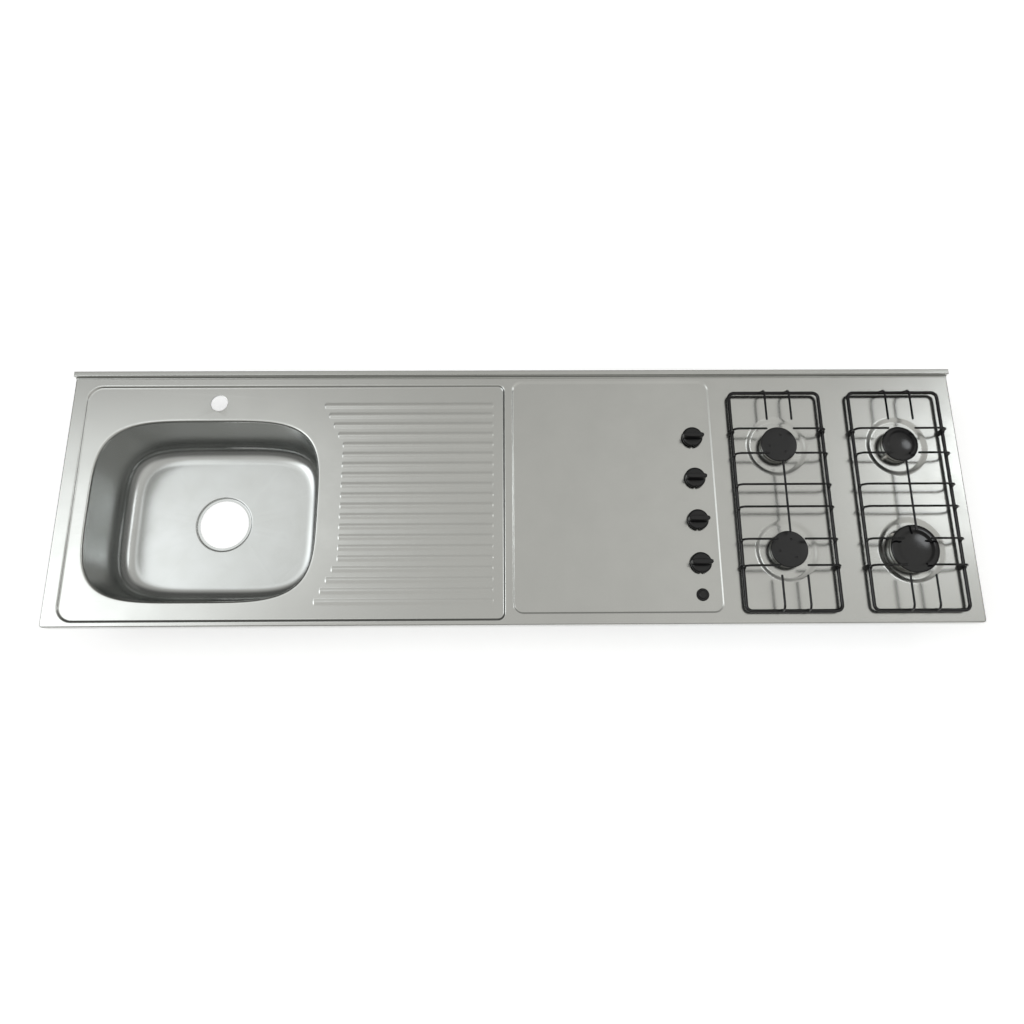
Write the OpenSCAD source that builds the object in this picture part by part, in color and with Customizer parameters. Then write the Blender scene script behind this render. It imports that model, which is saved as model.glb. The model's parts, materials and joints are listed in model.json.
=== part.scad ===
// Stainless steel kitchenette top: a pressed sheet with a welded sink bowl, a ribbed drainer, a plain
// worktop panel and a four burner gas hob, as it is laid on a run of base cabinets.
// Sheet frame used by every module: x runs right from the left end, y runs back from the front edge and
// z is 0 on the top surface. place() moves that frame to the part's own origin, which is the middle of
// the front edge's return fold, on the underside, where the top rests on its cabinets.

/* [Worktop] */
// Length of the top
top_l = 2000; // [1990:5:2060]
// Depth of the top from the front edge to the back of the upstand
top_d = 576; // [572:1:600]
// Thickness of the stainless sheet
sheet_t = 0.8; // [0.7:0.1:1.0]
// Height of the folded front and side edges
edge_h = 30; // [28:1:36]
// Outside radius of the folded edges
edge_r = 3; // [2:0.5:4]
// Outside radius of the two front corners, seen from above
corner_r = 7; // [6:1:10]
// Width of the return fold under the front and side edges
hem_w = 12; // [8:1:14]
// Height of the rear upstand above the top
upstand_h = 12; // [10:1:30]
// Depth of the flange on top of the upstand
upstand_w = 12; // [10:1:14]
// Drop of the fold at the back of the upstand
upstand_drop = 9; // [5:1:9]

/* [Sink panel] */
// Depth that the sink panel is pressed below the land round it
panel_drop = 3; // [2:0.5:4]
// Width of the sloping step round a pressed panel
step_w = 6; // [5:0.5:8]
// Plain land left of the sink panel
sink_land = 30; // [26:1:40]
// Length of the sink panel
sink_l = 951; // [930:1:970]
// Plain land in front of the sink panel
front_land = 9; // [7:1:12]
// Plain land between the sink panel and the upstand
rear_land = 19; // [16:1:24]
// Radius of the left corners of the sink panel
panel_r = 36; // [26:1:46]
// Radius of the right corners of the sink panel
panel_r_small = 17; // [12:1:24]
// Diameter of the hole for the mixer tap
mixer_hole_d = 38; // [34:0.5:40]
// Distance of the mixer hole from the left end
mixer_x = 331; // [300:1:380]
// Distance of the mixer hole from the back of the upstand
mixer_rear = 73; // [71:1:77]
// Width of the stiffening plate under the mixer hole
mixer_plate_w = 70; // [60:1:76]
// Thickness of that plate
mixer_plate_t = 2; // [1.5:0.1:2.5]

/* [Bowl] */
// Length of the bowl at its rim
bowl_l = 509; // [480:1:514]
// Distance from the front edge to the bowl's rim
bowl_front = 48.5; // [45:0.5:52]
// Distance from the bowl's rim to the back of the upstand
bowl_rear = 112.5; // [110:0.5:120]
// Corner radius of the rim, seen from above
bowl_corner = 126; // [106:1:136]
// Distance of the bowl's middle from the left end
bowl_x = 315.5; // [305:0.5:320]
// Depth of the bowl below the sink panel
bowl_depth = 154; // [130:1:190]
// How far the walls lean in from rim to floor
bowl_draft = 12; // [6:1:20]
// Radius between the walls and the floor
bowl_fillet = 40; // [25:1:50]
// Radius of the shoulder at the rim
bowl_shoulder = 5; // [3:0.5:8]
// Width of the welding flange under the sink panel
bowl_flange = 7; // [6:0.5:8]
// Diameter of the drain hole
drain_d = 114; // [88:1:116]
// Diameter of the seat pressed round the drain hole
drain_seat_d = 130; // [126:1:150]
// Depth of that seat
drain_seat_h = 3; // [2:0.5:5]

/* [Drainer] */
// Number of ribs
rib_count = 20; // [12:1:20]
// Distance from one rib to the next
rib_pitch = 23.4; // [20:0.1:23.8]
// Width of a rib at its foot
rib_w = 12; // [9:0.5:15]
// Height of a rib
rib_h = 1.5; // [1:0.1:2]
// Distance of the first rib from the front edge
rib_y = 51; // [44:1:55]
// Distance of the long ribs' left ends from the left end of the top
rib_x = 616; // [610:1:640]
// Distance from the ribs' right ends to the panel's right side
rib_end = 26; // [20:1:40]
// Shift of each stepped rib at the front and rear, so that they follow the bowl
rib_step = 11.3; // [0:0.1:12]
// Number of stepped ribs at the front and again at the rear
rib_stepped = 4; // [0:1:5]

/* [Worktop panel] */
// Depth that the plain panel is pressed below its land
mid_drop = 1.5; // [1:0.5:2.5]
// Land between the sink panel and the plain panel
ridge_w = 14; // [10:1:30]
// Length of the hob end, from the plain panel to the right end
hob_l = 553; // [536:1:585]
// Plain land in front of the plain panel
mid_front = 22; // [16:1:32]
// Plain land behind the plain panel
mid_rear = 11; // [8:1:16]
// Corner radius of the plain panel
mid_r = 23; // [14:1:30]

/* [Burners] */
// Distance of the right pair of burners from the right end
burner_right = 139; // [135:1:147]
// Distance of the front pair of burners from the front edge
burner_front = 156; // [153:1:158]
// Distance between the left and right burners
burner_pitch_x = 271; // [265:1:278]
// Distance between the front and rear burners
burner_pitch_y = 237; // [233:1:239]
// Diameter of the three standard caps
cap_d = 80; // [76:1:84]
// Diameter of the large cap at the front right
cap_large_d = 105; // [98:1:110]
// Thickness of a cap's rim
cap_t = 5; // [4:0.5:6]
// Rise of a domed cap above its rim
cap_dome = 4; // [2:0.5:5]
// How far a cap stands out past its flame ring
cap_over = 5; // [4:0.5:8]
// Height of the flame ring's top above the worktop
ring_top = 15; // [13:0.5:16]
// Width of a flame port
port_w = 2; // [1.5:0.1:2.5]
// Depth of a flame port
port_h = 3.5; // [2.5:0.5:4]
// Angle from one flame port to the next
port_angle = 12; // [10:1:20]
// Diameter of the dish pressed round a standard burner
dish_d = 134; // [128:1:140]
// Diameter of the dish pressed round the large burner
dish_large_d = 141; // [138:1:150]
// Depth of the dishes
dish_drop = 2.5; // [2:0.5:3]
// Wall of the cast burner cups
cup_wall = 2.5; // [2:0.1:3]
// Depth of the burner cups below the worktop
cup_depth = 33; // [31:1:36]

/* [Pan supports] */
// Length of a pan support, front to back
grate_l = 500; // [488:1:504]
// Width of a pan support
grate_w = 211; // [204:1:216]
// Distance of the pan supports' middle from the front edge
grate_y = 271; // [268:1:274]
// Diameter of the frame wire
frame_wire = 8; // [7:0.5:9]
// Height of the frame wire's middle above the worktop
frame_z = 12; // [11:0.5:14]
// Outside corner radius of the frame
frame_r = 16; // [14:1:24]
// Diameter of the cross bars
bar_wire = 5; // [4.5:0.5:6]
// Height of the cross bars' middle above the worktop
bar_z = 36; // [34:0.5:42]
// Bend radius of the cross bars, to the middle of the wire
bar_bend = 12; // [9:1:14]
// Distance of the two full cross bars from the middle of the grate
bar_mid = 25; // [22:0.5:30]
// Distance of the inner broken bars from the middle of the grate
bar_inner = 96; // [90:1:102]
// Distance of the outer broken bars from the middle of the grate
bar_outer = 153; // [146:1:158]
// Half the gap between the ends of the broken bars
bar_gap = 30; // [26:1:34]
// Distance of the short end bars from the middle line
bar_side = 27.5; // [24:0.5:32]
// Length of the short end bars in from the frame
bar_short = 71; // [62:1:80]
// Half length of the bar along the middle
bar_centre = 78; // [68:1:86]
// Diameter of the four feet
foot_d = 13; // [11:1:16]

/* [Controls] */
// Distance from the knobs' line to the plain panel's right side
knob_inset = 46; // [42:1:60]
// Distance of the first knob from the front edge
knob_front = 130; // [128:1:132]
// Distance from one knob to the next
knob_pitch = 95; // [94:1:97]
// Diameter of a knob's skirt
knob_d = 46; // [42:1:50]
// Height of a knob's top above the worktop
knob_top = 26; // [24:1:30]
// Width of a knob's grip bar
grip_w = 13; // [11:1:16]
// Push travel of a knob
knob_push = 3.5; // [2.5:0.5:4]
// Diameter of a tap's spindle
spindle_d = 8; // [7:0.5:9]
// Distance of the igniter button from the front edge
igniter_y = 62; // [60:1:66]
// Diameter of the igniter's bezel
bezel_d = 27; // [25:1:30]
// Diameter of the igniter's button
button_d = 19; // [17:0.5:19.5]
// Travel of the igniter's button
button_push = 4; // [3:0.5:4.5]

/* [Gas] */
// Outside diameter of the gas rail
rail_d = 21.3; // [20:0.1:22]
// Depth of the gas rail's middle below the worktop
rail_z = 68; // [67:1:70]
// Diameter of the feed tubes
feed_d = 6.4; // [6:0.1:6.8]
// Diameter of the inlet thread
inlet_d = 20.96; // [20.5:0.01:21]
// Length of the inlet thread
inlet_l = 14; // [12:1:16]

/* [Underside] */
// Thickness of the galvanised sheet
galv_t = 1; // [0.8:0.1:1.2]
// Width of the front and rear rails
rail_w = 28; // [26:1:28]
// Width of a cross rail's web
cross_w = 30; // [24:1:40]
// Depth of the burner box below the edges
box_h = 60; // [58:1:80]
// Width of the burner box's flange
box_flange = 14; // [12:1:16]
// Diameter of the fixing holes in the rails
fix_d = 4.5; // [4:0.1:5]

/* [Hidden] */
BURNERS = ["rear_left", "front_left", "rear_right", "front_right"];
TAPS = [1, 2, 3, 4];
SIDES = ["left", "right"];

$fn = 48;
// Overlap of tools that cut right through
cut = 1;
// Gap between pieces that lift or slide past each other
play = 0.4;
// Radial running clearance of a shaft in its hole
run = 0.05;

// Worktop levels and panel outlines
step_r = sheet_t + 0.4;
face_y = top_d - upstand_w;
sink_x1 = sink_land + sink_l;
sink_y1 = face_y - rear_land;
mid_x0 = sink_x1 + ridge_w;
mid_x1 = top_l - hob_l;
mid_y1 = face_y - mid_rear;
panel_z = -panel_drop;
mid_z = -mid_drop;
dish_z = -dish_drop;
under_z = panel_z - sheet_t;
floor_z = panel_z - bowl_depth;

bowl_x0 = bowl_x - bowl_l / 2;
bowl_x1 = bowl_x + bowl_l / 2;
mixer_y = top_d - mixer_rear;
bowl_y0 = bowl_front;
bowl_y1 = top_d - bowl_rear;
bowl_y = (bowl_y0 + bowl_y1) / 2;

// Burner places and sizes, by index into BURNERS
function burner_pos(i) = [top_l - burner_right - (i < 2 ? burner_pitch_x : 0),
                          burner_front + (i % 2 == 0 ? burner_pitch_y : 0)];
function cap_r(i) = (i == 3 ? cap_large_d : cap_d) / 2;
function dish_r(i) = (i == 3 ? dish_large_d : dish_d) / 2;
function is_domed(i) = i > 1;
function ring_r(i) = cap_r(i) - cap_over;
// The hole in the dish, which the cup's collar fills
function hole_r(i) = ring_r(i) - 7;
function collar_r(i) = hole_r(i) - play;
function cup_r(i) = collar_r(i) - cup_wall;
function spigot_r(i) = cup_r(i) - play;
hob_mid = [top_l - burner_right - burner_pitch_x / 2, burner_front + burner_pitch_y / 2];
ring_seat = dish_z + 1.5;
ring_rim = 5;
throat_r = 10;
cup_flange = 5;
cup_flange_t = 3;
cup_screw_r = 1.5;

// Gas galleries under the cups, and the spark electrodes beside the rings
gallery_z = -cup_depth - 5;
gallery_r = 6;
gallery_out = 14;
function gallery_end(i) = burner_pos(i)[0] - hole_r(i) - gallery_out;
spark_r = 2.8;
spark_gap = 1;
spark_bottom = -28;
// Electrodes stand beside the rings on the hob middle's side, to the nearest tenth of a millimetre
function spark_pos(i) = let (p = burner_pos(i), d = hob_mid - p)
    [for (c = p + d / norm(d) * (ring_r(i) + spark_gap + spark_r)) round(10 * c) / 10];

// Knobs, spindles and igniter
knob_x = mid_x1 - knob_inset;
function knob_y(i) = knob_front + (i - 1) * knob_pitch;
shaft_r = spindle_d / 2;
shaft_hole = shaft_r + 2;
skirt_z = mid_z + knob_push + 2.5;
skirt_t = 6;
shaft_top = skirt_z + 14;
seal_t = 2;
barrel_r = bezel_d / 2 - 2.7;
barrel_bottom = -30;

// Gas tap levels, downwards from the worktop
tap_top = -13;
bonnet_t = 3;
bonnet_w = 22;
bonnet_l = 36;
plug_top = -30;
plug_bottom = -48;
plug_r_top = 7;
plug_r_bottom = 5.4;
tap_r = 10;
tap_block = 36;
tap_block_w = 24;
clamp_screw = 14.2;
bonnet_screw = 13.5;
outlet_z = gallery_z;
outlet_l = 24;
outlet_r = 6;
port_r = 2;
tongue_t = 3;
tongue_w = 7;
tongue_l = 7;
slot_depth = tongue_l + knob_push + 0.5 - 4;
collar_z = -19;
collar_t = 2;
feed_seat = 8;
feed_r = feed_d / 2;
nut_l = 9;
nut_r = 7;
// The tubes of the first and last taps have the shortest side steps, which limit their bends
feed_bend = min(9, min(burner_front - knob_front, knob_front + 3 * knob_pitch - burner_front
    - burner_pitch_y) / 2 - 0.5);
// The burner that each tap feeds, by index into BURNERS
TAP_BURNER = [1, 3, 2, 0];

// Rails and burner box
rail_bottom = -edge_h + sheet_t;
rear_rail_y = face_y - rail_w - 2;
box_y0 = sheet_t + rail_w + 3;
box_y1 = rear_rail_y - 2;
box_x0 = knob_x - 53;
box_x1 = top_l - 34;
box_r = 12;
box_bottom = -edge_h - box_h;
cross_x = [640, top_l / 2, box_x0 - cross_w / 2 - 3, box_x1 + cross_w / 2 - 3];
cross_lip = 8;
fix_x = [100, 1250];
fix_front = 21;
fix_rear = face_y - 12;
box_screw_x = [box_x0 + 60, (box_x0 + box_x1) / 2, box_x1 - 60];
box_screw_y = [box_y0 - box_flange + 5, box_y1 + box_flange - 5];
screw_r = 1.9;
pipe_r = rail_d / 2;
pipe_wall = 2.2;
pipe_y0 = knob_front - 34;
pipe_y1 = box_y1 + 18;
elbow_y = pipe_y1 + 9;
elbow_drop = 18;
lead_r = 1.5;
spark_box = [60, 40, 20];
button_bottom = mid_z - 2;

module place() {
    translate([-top_l / 2, -(edge_r + hem_w) / 2, edge_h]) children();
}

// ---- Shapes that several pieces share ----

function unit(v) = v / norm(v);

// Arc of radius r that rounds corner b between a and c, in n steps
function bend(a, b, c, r, n) =
    let (u = unit(a - b), v = unit(c - b), half = acos(max(-1, min(1, u * v))) / 2)
    half > 89.5 ? [b] :
    let (s = b + u * r / tan(half), e = b + v * r / tan(half), o = b + unit(u + v) * r / sin(half),
         w = 180 - 2 * half)
    [for (k = [0:n]) o + (sin(w * (1 - k / n)) * (s - o) + sin(w * k / n) * (e - o)) / sin(w)];

// Path with every inner corner rounded to radius r
function bent(p, r, n) = let (last = len(p) - 1)
    concat([p[0]], [for (i = [1:last - 1]) each bend(p[i - 1], p[i], p[i + 1], r, n)], [p[last]]);

function left_of(v) = [-v[1], v[0]];

// Point i of a flat path, moved to the path's left by t
function moved(p, i, t) = let (last = len(p) - 1,
    a = i > 0 ? unit(p[i] - p[i - 1]) : unit(p[1] - p[0]),
    b = i < last ? unit(p[i + 1] - p[i]) : a,
    m = unit(left_of(a) + left_of(b)))
    p[i] + m * t / (m * left_of(a));

// Folded sheet seen end on: path is one face and the metal, t thick, lies to the path's left
module folded(path, t, r) {
    p = bent(path, r, 3);
    last = len(p) - 1;
    polygon(concat(p, [for (i = [last:-1:0]) moved(p, i, t)]));
}

// Sweeps a profile, x inwards from the outline and y up, round a rectangle with corner radii [left, right]
module around(x0, x1, y0, y1, r) {
    translate([x0, y1 - r[0], 0]) rotate([90, 0, 0]) linear_extrude(y1 - y0 - 2 * r[0]) children();
    translate([x0 + r[0], y0, 0]) rotate([90, 0, 90]) linear_extrude(x1 - x0 - r[0] - r[1]) children();
    translate([x1, y0 + r[1], 0]) rotate([90, 0, 180]) linear_extrude(y1 - y0 - 2 * r[1]) children();
    translate([x1 - r[1], y1, 0]) rotate([90, 0, 270]) linear_extrude(x1 - x0 - r[0] - r[1]) children();
    for (c = [[x0 + r[0], y0 + r[0], r[0], 180], [x1 - r[1], y0 + r[1], r[1], 270],
              [x1 - r[1], y1 - r[1], r[1], 0], [x0 + r[0], y1 - r[0], r[0], 90]])
        translate([c[0], c[1], 0]) rotate([0, 0, c[3]]) rotate_extrude(angle = 90)
            translate([c[2], 0]) mirror([1, 0]) children();
}

// Flat rectangle with corner radii [left, right]
module rounded(x0, x1, y0, y1, r) {
    translate([x0 + r[0], y0]) square([x1 - x0 - r[0] - r[1], y1 - y0]);
    translate([x0, y0 + r[0]]) square([x1 - x0 - r[1], y1 - y0 - 2 * r[0]]);
    translate([x0 + r[0], y0 + r[1]]) square([x1 - x0 - r[0], y1 - y0 - 2 * r[1]]);
    for (y = [y0 + r[0], y1 - r[0]]) translate([x0 + r[0], y]) circle(r[0]);
    for (y = [y0 + r[1], y1 - r[1]]) translate([x1 - r[1], y]) circle(r[1]);
}

// Turns the local x, y and z axes to the three given directions and moves the origin to o
module turned(x, y, z, o) {
    multmatrix([for (k = [0:2]) [x[k], y[k], z[k], o[k]]]) children();
}

// Sweeps a round profile along a path whose inner corners are bent to radius r
module along(p, r) {
    last = len(p) - 1;
    dir = [for (i = [0:last - 1]) unit(p[i + 1] - p[i])];
    cut_back = [for (i = [0:last]) i == 0 || i == last ? 0 :
        r * tan(acos(max(-1, min(1, dir[i - 1] * dir[i]))) / 2)];
    for (i = [0:last - 1]) {
        d = dir[i];
        s = unit(cross(d, abs(d[2]) < 0.9 ? [0, 0, 1] : [1, 0, 0]));
        turned(s, cross(d, s), d, p[i] + d * cut_back[i])
            linear_extrude(norm(p[i + 1] - p[i]) - cut_back[i] - cut_back[i + 1]) children();
    }
    for (i = [1:1:last - 1]) {
        u = dir[i - 1];
        v = dir[i];
        n = unit(v - u * (u * v));
        turned(-n, u, cross(u, n), p[i] - u * cut_back[i] + n * r)
            rotate_extrude(angle = acos(max(-1, min(1, u * v)))) translate([r, 0]) children();
    }
}

// Hexagon s across its flats
module hex(s) {
    circle(r = s / sqrt(3), $fn = 6);
}

// Pan head screw with its head's seat at z 0 and its shank pointing up
module screw(r, l) {
    translate([0, 0, -r * 1.2]) cylinder(r1 = r * 1.5, r2 = r * 1.8, h = r * 1.2, $fn = 24);
    cylinder(r = r, h = l, $fn = 24);
}

// ---- Worktop ----

// Pressed step from the land at z 0 down to a panel
module step_profile(drop) {
    folded([[step_w, -drop], [step_w - 1.2, -drop], [1.2, 0], [0, 0]], sheet_t, step_r);
}

module edge_profile() {
    folded([[edge_r + 0.2, 0], [0, 0], [0, -edge_h], [hem_w, -edge_h]], sheet_t, edge_r);
}

module edge_folds() {
    side_l = face_y - corner_r;
    translate([0, face_y, 0]) rotate([90, 0, 0]) linear_extrude(side_l) edge_profile();
    translate([top_l, corner_r, 0]) rotate([90, 0, 180]) linear_extrude(side_l) edge_profile();
    translate([corner_r, 0, 0]) rotate([90, 0, 90]) linear_extrude(top_l - 2 * corner_r) edge_profile();
    for (c = [[corner_r, 180], [top_l - corner_r, 270]])
        translate([c[0], corner_r, 0]) rotate([0, 0, c[1]]) rotate_extrude(angle = 90)
            translate([corner_r, 0]) mirror([1, 0]) intersection() {
                edge_profile();
                translate([-cut, -edge_h - cut]) square([corner_r + cut, edge_h + 2 * cut]);
            }
}

module upstand() {
    translate([0, face_y, 0]) rotate([90, 0, 90]) linear_extrude(top_l)
        folded([[upstand_w, upstand_h - upstand_drop], [upstand_w, upstand_h], [0, upstand_h], [0, 0],
                [-edge_r - 2, 0]], sheet_t, 2);
}

module land() {
    inset = edge_r + 0.2;
    translate([0, 0, -sheet_t]) linear_extrude(sheet_t) difference() {
        union() {
            translate([inset, corner_r]) square([top_l - 2 * inset, face_y - corner_r - edge_r - 2]);
            translate([corner_r, inset]) square([top_l - 2 * corner_r, corner_r]);
            for (x = [corner_r, top_l - corner_r]) translate([x, corner_r]) circle(corner_r - inset);
        }
        rounded(sink_land, sink_x1, front_land, sink_y1, [panel_r, panel_r_small]);
        rounded(mid_x0, mid_x1, mid_front, mid_y1, [mid_r, mid_r]);
        for (i = [0:3]) translate(burner_pos(i)) circle(dish_r(i));
    }
}

// Half of a rib's cross section
module rib_profile(w) {
    polygon([[0, 0], [w / 2, 0], [w / 2 - rib_h * 1.2, rib_h * 0.75], [w / 2 - rib_h * 2.4, rib_h],
             [0, rib_h]]);
}

// One rib w wide from x0 to x1, its foot at height z
module rib(x0, x1, y, z, w) {
    translate([x0 + w / 2, y, z]) {
        rotate([90, 0, 90]) linear_extrude(x1 - x0 - w) {
            rib_profile(w);
            mirror([1, 0]) rib_profile(w);
        }
        rotate([0, 0, 90]) rotate_extrude(angle = 180) rib_profile(w);
        translate([x1 - x0 - w, 0, 0]) rotate([0, 0, -90]) rotate_extrude(angle = 180) rib_profile(w);
    }
}

function rib_start(k) = rib_x - rib_step * max(0, rib_stepped - min(k, rib_count - 1 - k));

module ribs(z, w, in) {
    for (k = [0:rib_count - 1])
        rib(rib_start(k) + in, sink_x1 - rib_end - in, rib_y + k * rib_pitch, z, w);
}

module sink_panel() {
    difference() {
        union() {
            translate([0, 0, under_z]) linear_extrude(sheet_t) difference() {
                rounded(sink_land + step_w, sink_x1 - step_w, front_land + step_w, sink_y1 - step_w,
                        [panel_r - step_w, panel_r_small - step_w]);
                rounded(bowl_x0, bowl_x1, bowl_y0, bowl_y1, [bowl_corner, bowl_corner]);
                translate([mixer_x, mixer_y]) circle(d = mixer_hole_d);
            }
            ribs(panel_z, rib_w, 0);
        }
        // The ribs are pressed up, so the sheet is hollow below them
        ribs(under_z, rib_w - 2 * sheet_t, sheet_t);
    }
    around(sink_land, sink_x1, front_land, sink_y1, [panel_r, panel_r_small]) step_profile(panel_drop);
}

module worktop_panel() {
    translate([0, 0, mid_z - sheet_t]) linear_extrude(sheet_t) difference() {
        rounded(mid_x0 + step_w, mid_x1 - step_w, mid_front + step_w, mid_y1 - step_w,
                [mid_r - step_w, mid_r - step_w]);
        for (i = TAPS) translate([knob_x, knob_y(i)]) circle(shaft_hole);
        translate([knob_x, igniter_y]) circle(barrel_r + 0.2);
    }
    around(mid_x0, mid_x1, mid_front, mid_y1, [mid_r, mid_r]) step_profile(mid_drop);
}

// Three screws hold each cup, on a circle inside the flame ring's skirt
module at_cup_screws(i) {
    for (a = [60, 180, 300]) translate(burner_pos(i)) rotate([0, 0, a])
        translate([hole_r(i) + cup_flange / 2, 0, 0]) children();
}

// Round dish pressed under a burner, with the holes for its cup, screws and electrode
module dish(i) {
    difference() {
        translate(burner_pos(i)) rotate_extrude()
            folded([[hole_r(i), dish_z], [dish_r(i) - step_w, dish_z], [dish_r(i) - 1.2, 0], [dish_r(i), 0]],
                   -sheet_t, step_r);
        translate(concat(spark_pos(i), dish_z - sheet_t - cut))
            cylinder(r = spark_r + 0.3, h = sheet_t + 2 * cut);
        at_cup_screws(i) translate([0, 0, dish_z - sheet_t - cut])
            cylinder(r = cup_screw_r + 0.2, h = sheet_t + 2 * cut, $fn = 24);
    }
}

module worktop_sheet() {
    color([0.74, 0.74, 0.72]) place() union() {
        land();
        edge_folds();
        upstand();
        sink_panel();
        worktop_panel();
        for (i = [0:3]) dish(i);
    }
}

// ---- Sink bowl ----

module sink_bowl() {
    lean = bowl_draft / (bowl_depth - bowl_fillet - bowl_shoulder);
    turn = 90 - atan(lean);
    // Inner skin from the flange over the shoulder and down the wall to the floor
    shoulder = [for (k = [0:4]) let (w = turn * k / 4)
        [bowl_shoulder * sin(w), under_z - bowl_shoulder * (1 - cos(w))]];
    foot = shoulder[4] + [bowl_draft, -bowl_depth + bowl_fillet + bowl_shoulder];
    fillet_mid = [foot[0] + bowl_fillet * sin(turn), floor_z + bowl_fillet];
    fillet = [for (k = [0:8]) let (w = turn * (1 - k / 8))
        fillet_mid - bowl_fillet * [sin(w), cos(w)]];
    flat = fillet[8][0] + 6;
    skin = concat([[-bowl_flange, under_z]], shoulder, fillet, [[flat, floor_z]]);
    last = len(skin) - 1;
    corner = bowl_corner - flat;
    color([0.72, 0.73, 0.71]) place() {
        around(bowl_x0, bowl_x1, bowl_y0, bowl_y1, [bowl_corner, bowl_corner])
            polygon(concat(skin, [for (i = [last:-1:0]) moved(skin, i, -sheet_t)]));
        difference() {
            union() {
                translate([0, 0, floor_z - sheet_t]) linear_extrude(sheet_t)
                    rounded(bowl_x0 + flat, bowl_x1 - flat, bowl_y0 + flat, bowl_y1 - flat, [corner, corner]);
                translate([bowl_x, bowl_y, floor_z - drain_seat_h - sheet_t])
                    cylinder(d = drain_seat_d + 2 * sheet_t, h = drain_seat_h + sheet_t);
            }
            translate([bowl_x, bowl_y, floor_z - drain_seat_h])
                cylinder(d = drain_seat_d, h = drain_seat_h + cut);
            translate([bowl_x, bowl_y, floor_z - drain_seat_h - sheet_t - cut])
                cylinder(d = drain_d, h = sheet_t + 2 * cut);
        }
    }
}

module mixer_plate() {
    y0 = bowl_y1 + bowl_flange + 2;
    color([0.62, 0.64, 0.66]) place() difference() {
        translate([mixer_x - mixer_plate_w / 2, y0, under_z - mixer_plate_t])
            cube([mixer_plate_w, rear_rail_y - 1 - y0, mixer_plate_t]);
        translate([mixer_x, mixer_y, under_z - mixer_plate_t - cut])
            cylinder(d = mixer_hole_d, h = mixer_plate_t + 2 * cut);
    }
}

// ---- Rails and burner box ----

// Open channel, its web at x rail_w; both flanges stop short of the sheet's own fold
module rail_section() {
    x0 = edge_r - sheet_t + 0.5;
    folded([[x0, under_z], [rail_w, under_z], [rail_w, rail_bottom], [x0, rail_bottom]], -galv_t, 1.5);
}

module rail_holes(y_fix, y_box) {
    for (p = concat([for (x = fix_x) [x, y_fix, fix_d / 2]], [for (x = box_screw_x) [x, y_box, screw_r + 0.1]]))
        translate([p[0], p[1], rail_bottom - cut]) cylinder(r = p[2], h = galv_t + 2 * cut);
}

module front_rail() {
    color([0.66, 0.69, 0.71]) place() difference() {
        translate([corner_r, sheet_t, 0]) rotate([90, 0, 90])
            linear_extrude(top_l - 2 * corner_r) rail_section();
        rail_holes(fix_front, box_screw_y[0]);
    }
}

module rear_rail() {
    color([0.66, 0.69, 0.71]) place() difference() {
        translate([top_l - corner_r, rear_rail_y + rail_w, 0]) rotate([90, 0, 270])
            linear_extrude(top_l - 2 * corner_r) rail_section();
        rail_holes(fix_rear, box_screw_y[1]);
    }
}

module cross_rails() {
    h = cross_w / 2;
    y0 = sheet_t + rail_w;
    color([0.64, 0.67, 0.69]) place() for (x = cross_x)
        translate([x, rear_rail_y, 0]) rotate([90, 0, 0]) linear_extrude(rear_rail_y - y0)
            folded([[cross_lip - h, under_z], [-h, under_z], [-h, rail_bottom],
                    [h, rail_bottom], [h, under_z], [h - cross_lip, under_z]], galv_t, 1.5);
}

module burner_box() {
    vent_x = [for (k = [0:8]) box_x0 + 90 + k * 55];
    color([0.68, 0.71, 0.72]) place() difference() {
        union() {
            around(box_x0, box_x1, box_y0, box_y1, [box_r, box_r])
                folded([[-box_flange, rail_bottom], [0, rail_bottom], [0, box_bottom], [10, box_bottom]],
                       -galv_t, 1.5);
            translate([0, 0, box_bottom - galv_t]) linear_extrude(galv_t) difference() {
                rounded(box_x0 + 10, box_x1 - 10, box_y0 + 10, box_y1 - 10, [box_r - 10, box_r - 10]);
                for (x = vent_x, y = [box_y0 + 50, box_y1 - 90]) translate([x, y]) square([6, 40]);
            }
        }
        translate([knob_x, box_y1 - 2, -rail_z]) rotate([-90, 0, 0]) cylinder(r = pipe_r + 1, h = 6);
        for (x = box_screw_x, y = box_screw_y) translate([x, y, rail_bottom - galv_t - cut])
            cylinder(r = screw_r + 0.1, h = galv_t + 2 * cut);
    }
}

// ---- Burners ----

// Cast cup under a dish: collar through the sheet, clamped flange, chamber and gas gallery
module burner_cup(i) {
    p = burner_pos(i);
    out = p[0] - gallery_end(i);
    top = dish_z - sheet_t;
    color([0.66, 0.66, 0.64]) place() translate([p[0], p[1], 0]) difference() {
        union() {
            translate([0, 0, -cup_depth]) cylinder(r = collar_r(i), h = cup_depth + ring_seat);
            translate([0, 0, top - cup_flange_t]) cylinder(r = hole_r(i) + cup_flange, h = cup_flange_t);
            translate([0, 0, gallery_z]) rotate([0, -90, 0]) cylinder(r = gallery_r, h = out);
            translate([0, 0, gallery_z - gallery_r]) cylinder(r = 9, h = gallery_r + 6);
        }
        translate([0, 0, 3 - cup_depth]) cylinder(r = cup_r(i), h = cup_depth + cut);
        translate([0, 0, gallery_z]) cylinder(r = 3 + run, h = cup_depth);
        translate([0, 0, gallery_z]) rotate([0, -90, 0]) cylinder(r = port_r, h = out);
        translate([feed_seat - out, 0, gallery_z]) rotate([0, -90, 0])
            cylinder(r = feed_r + run, h = feed_seat + cut);
        translate([-p[0], -p[1], 0]) at_cup_screws(i)
            translate([0, 0, top - cup_flange_t - cut])
                cylinder(r = cup_screw_r + run, h = cup_flange_t + 2 * cut, $fn = 24);
    }
}

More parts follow.
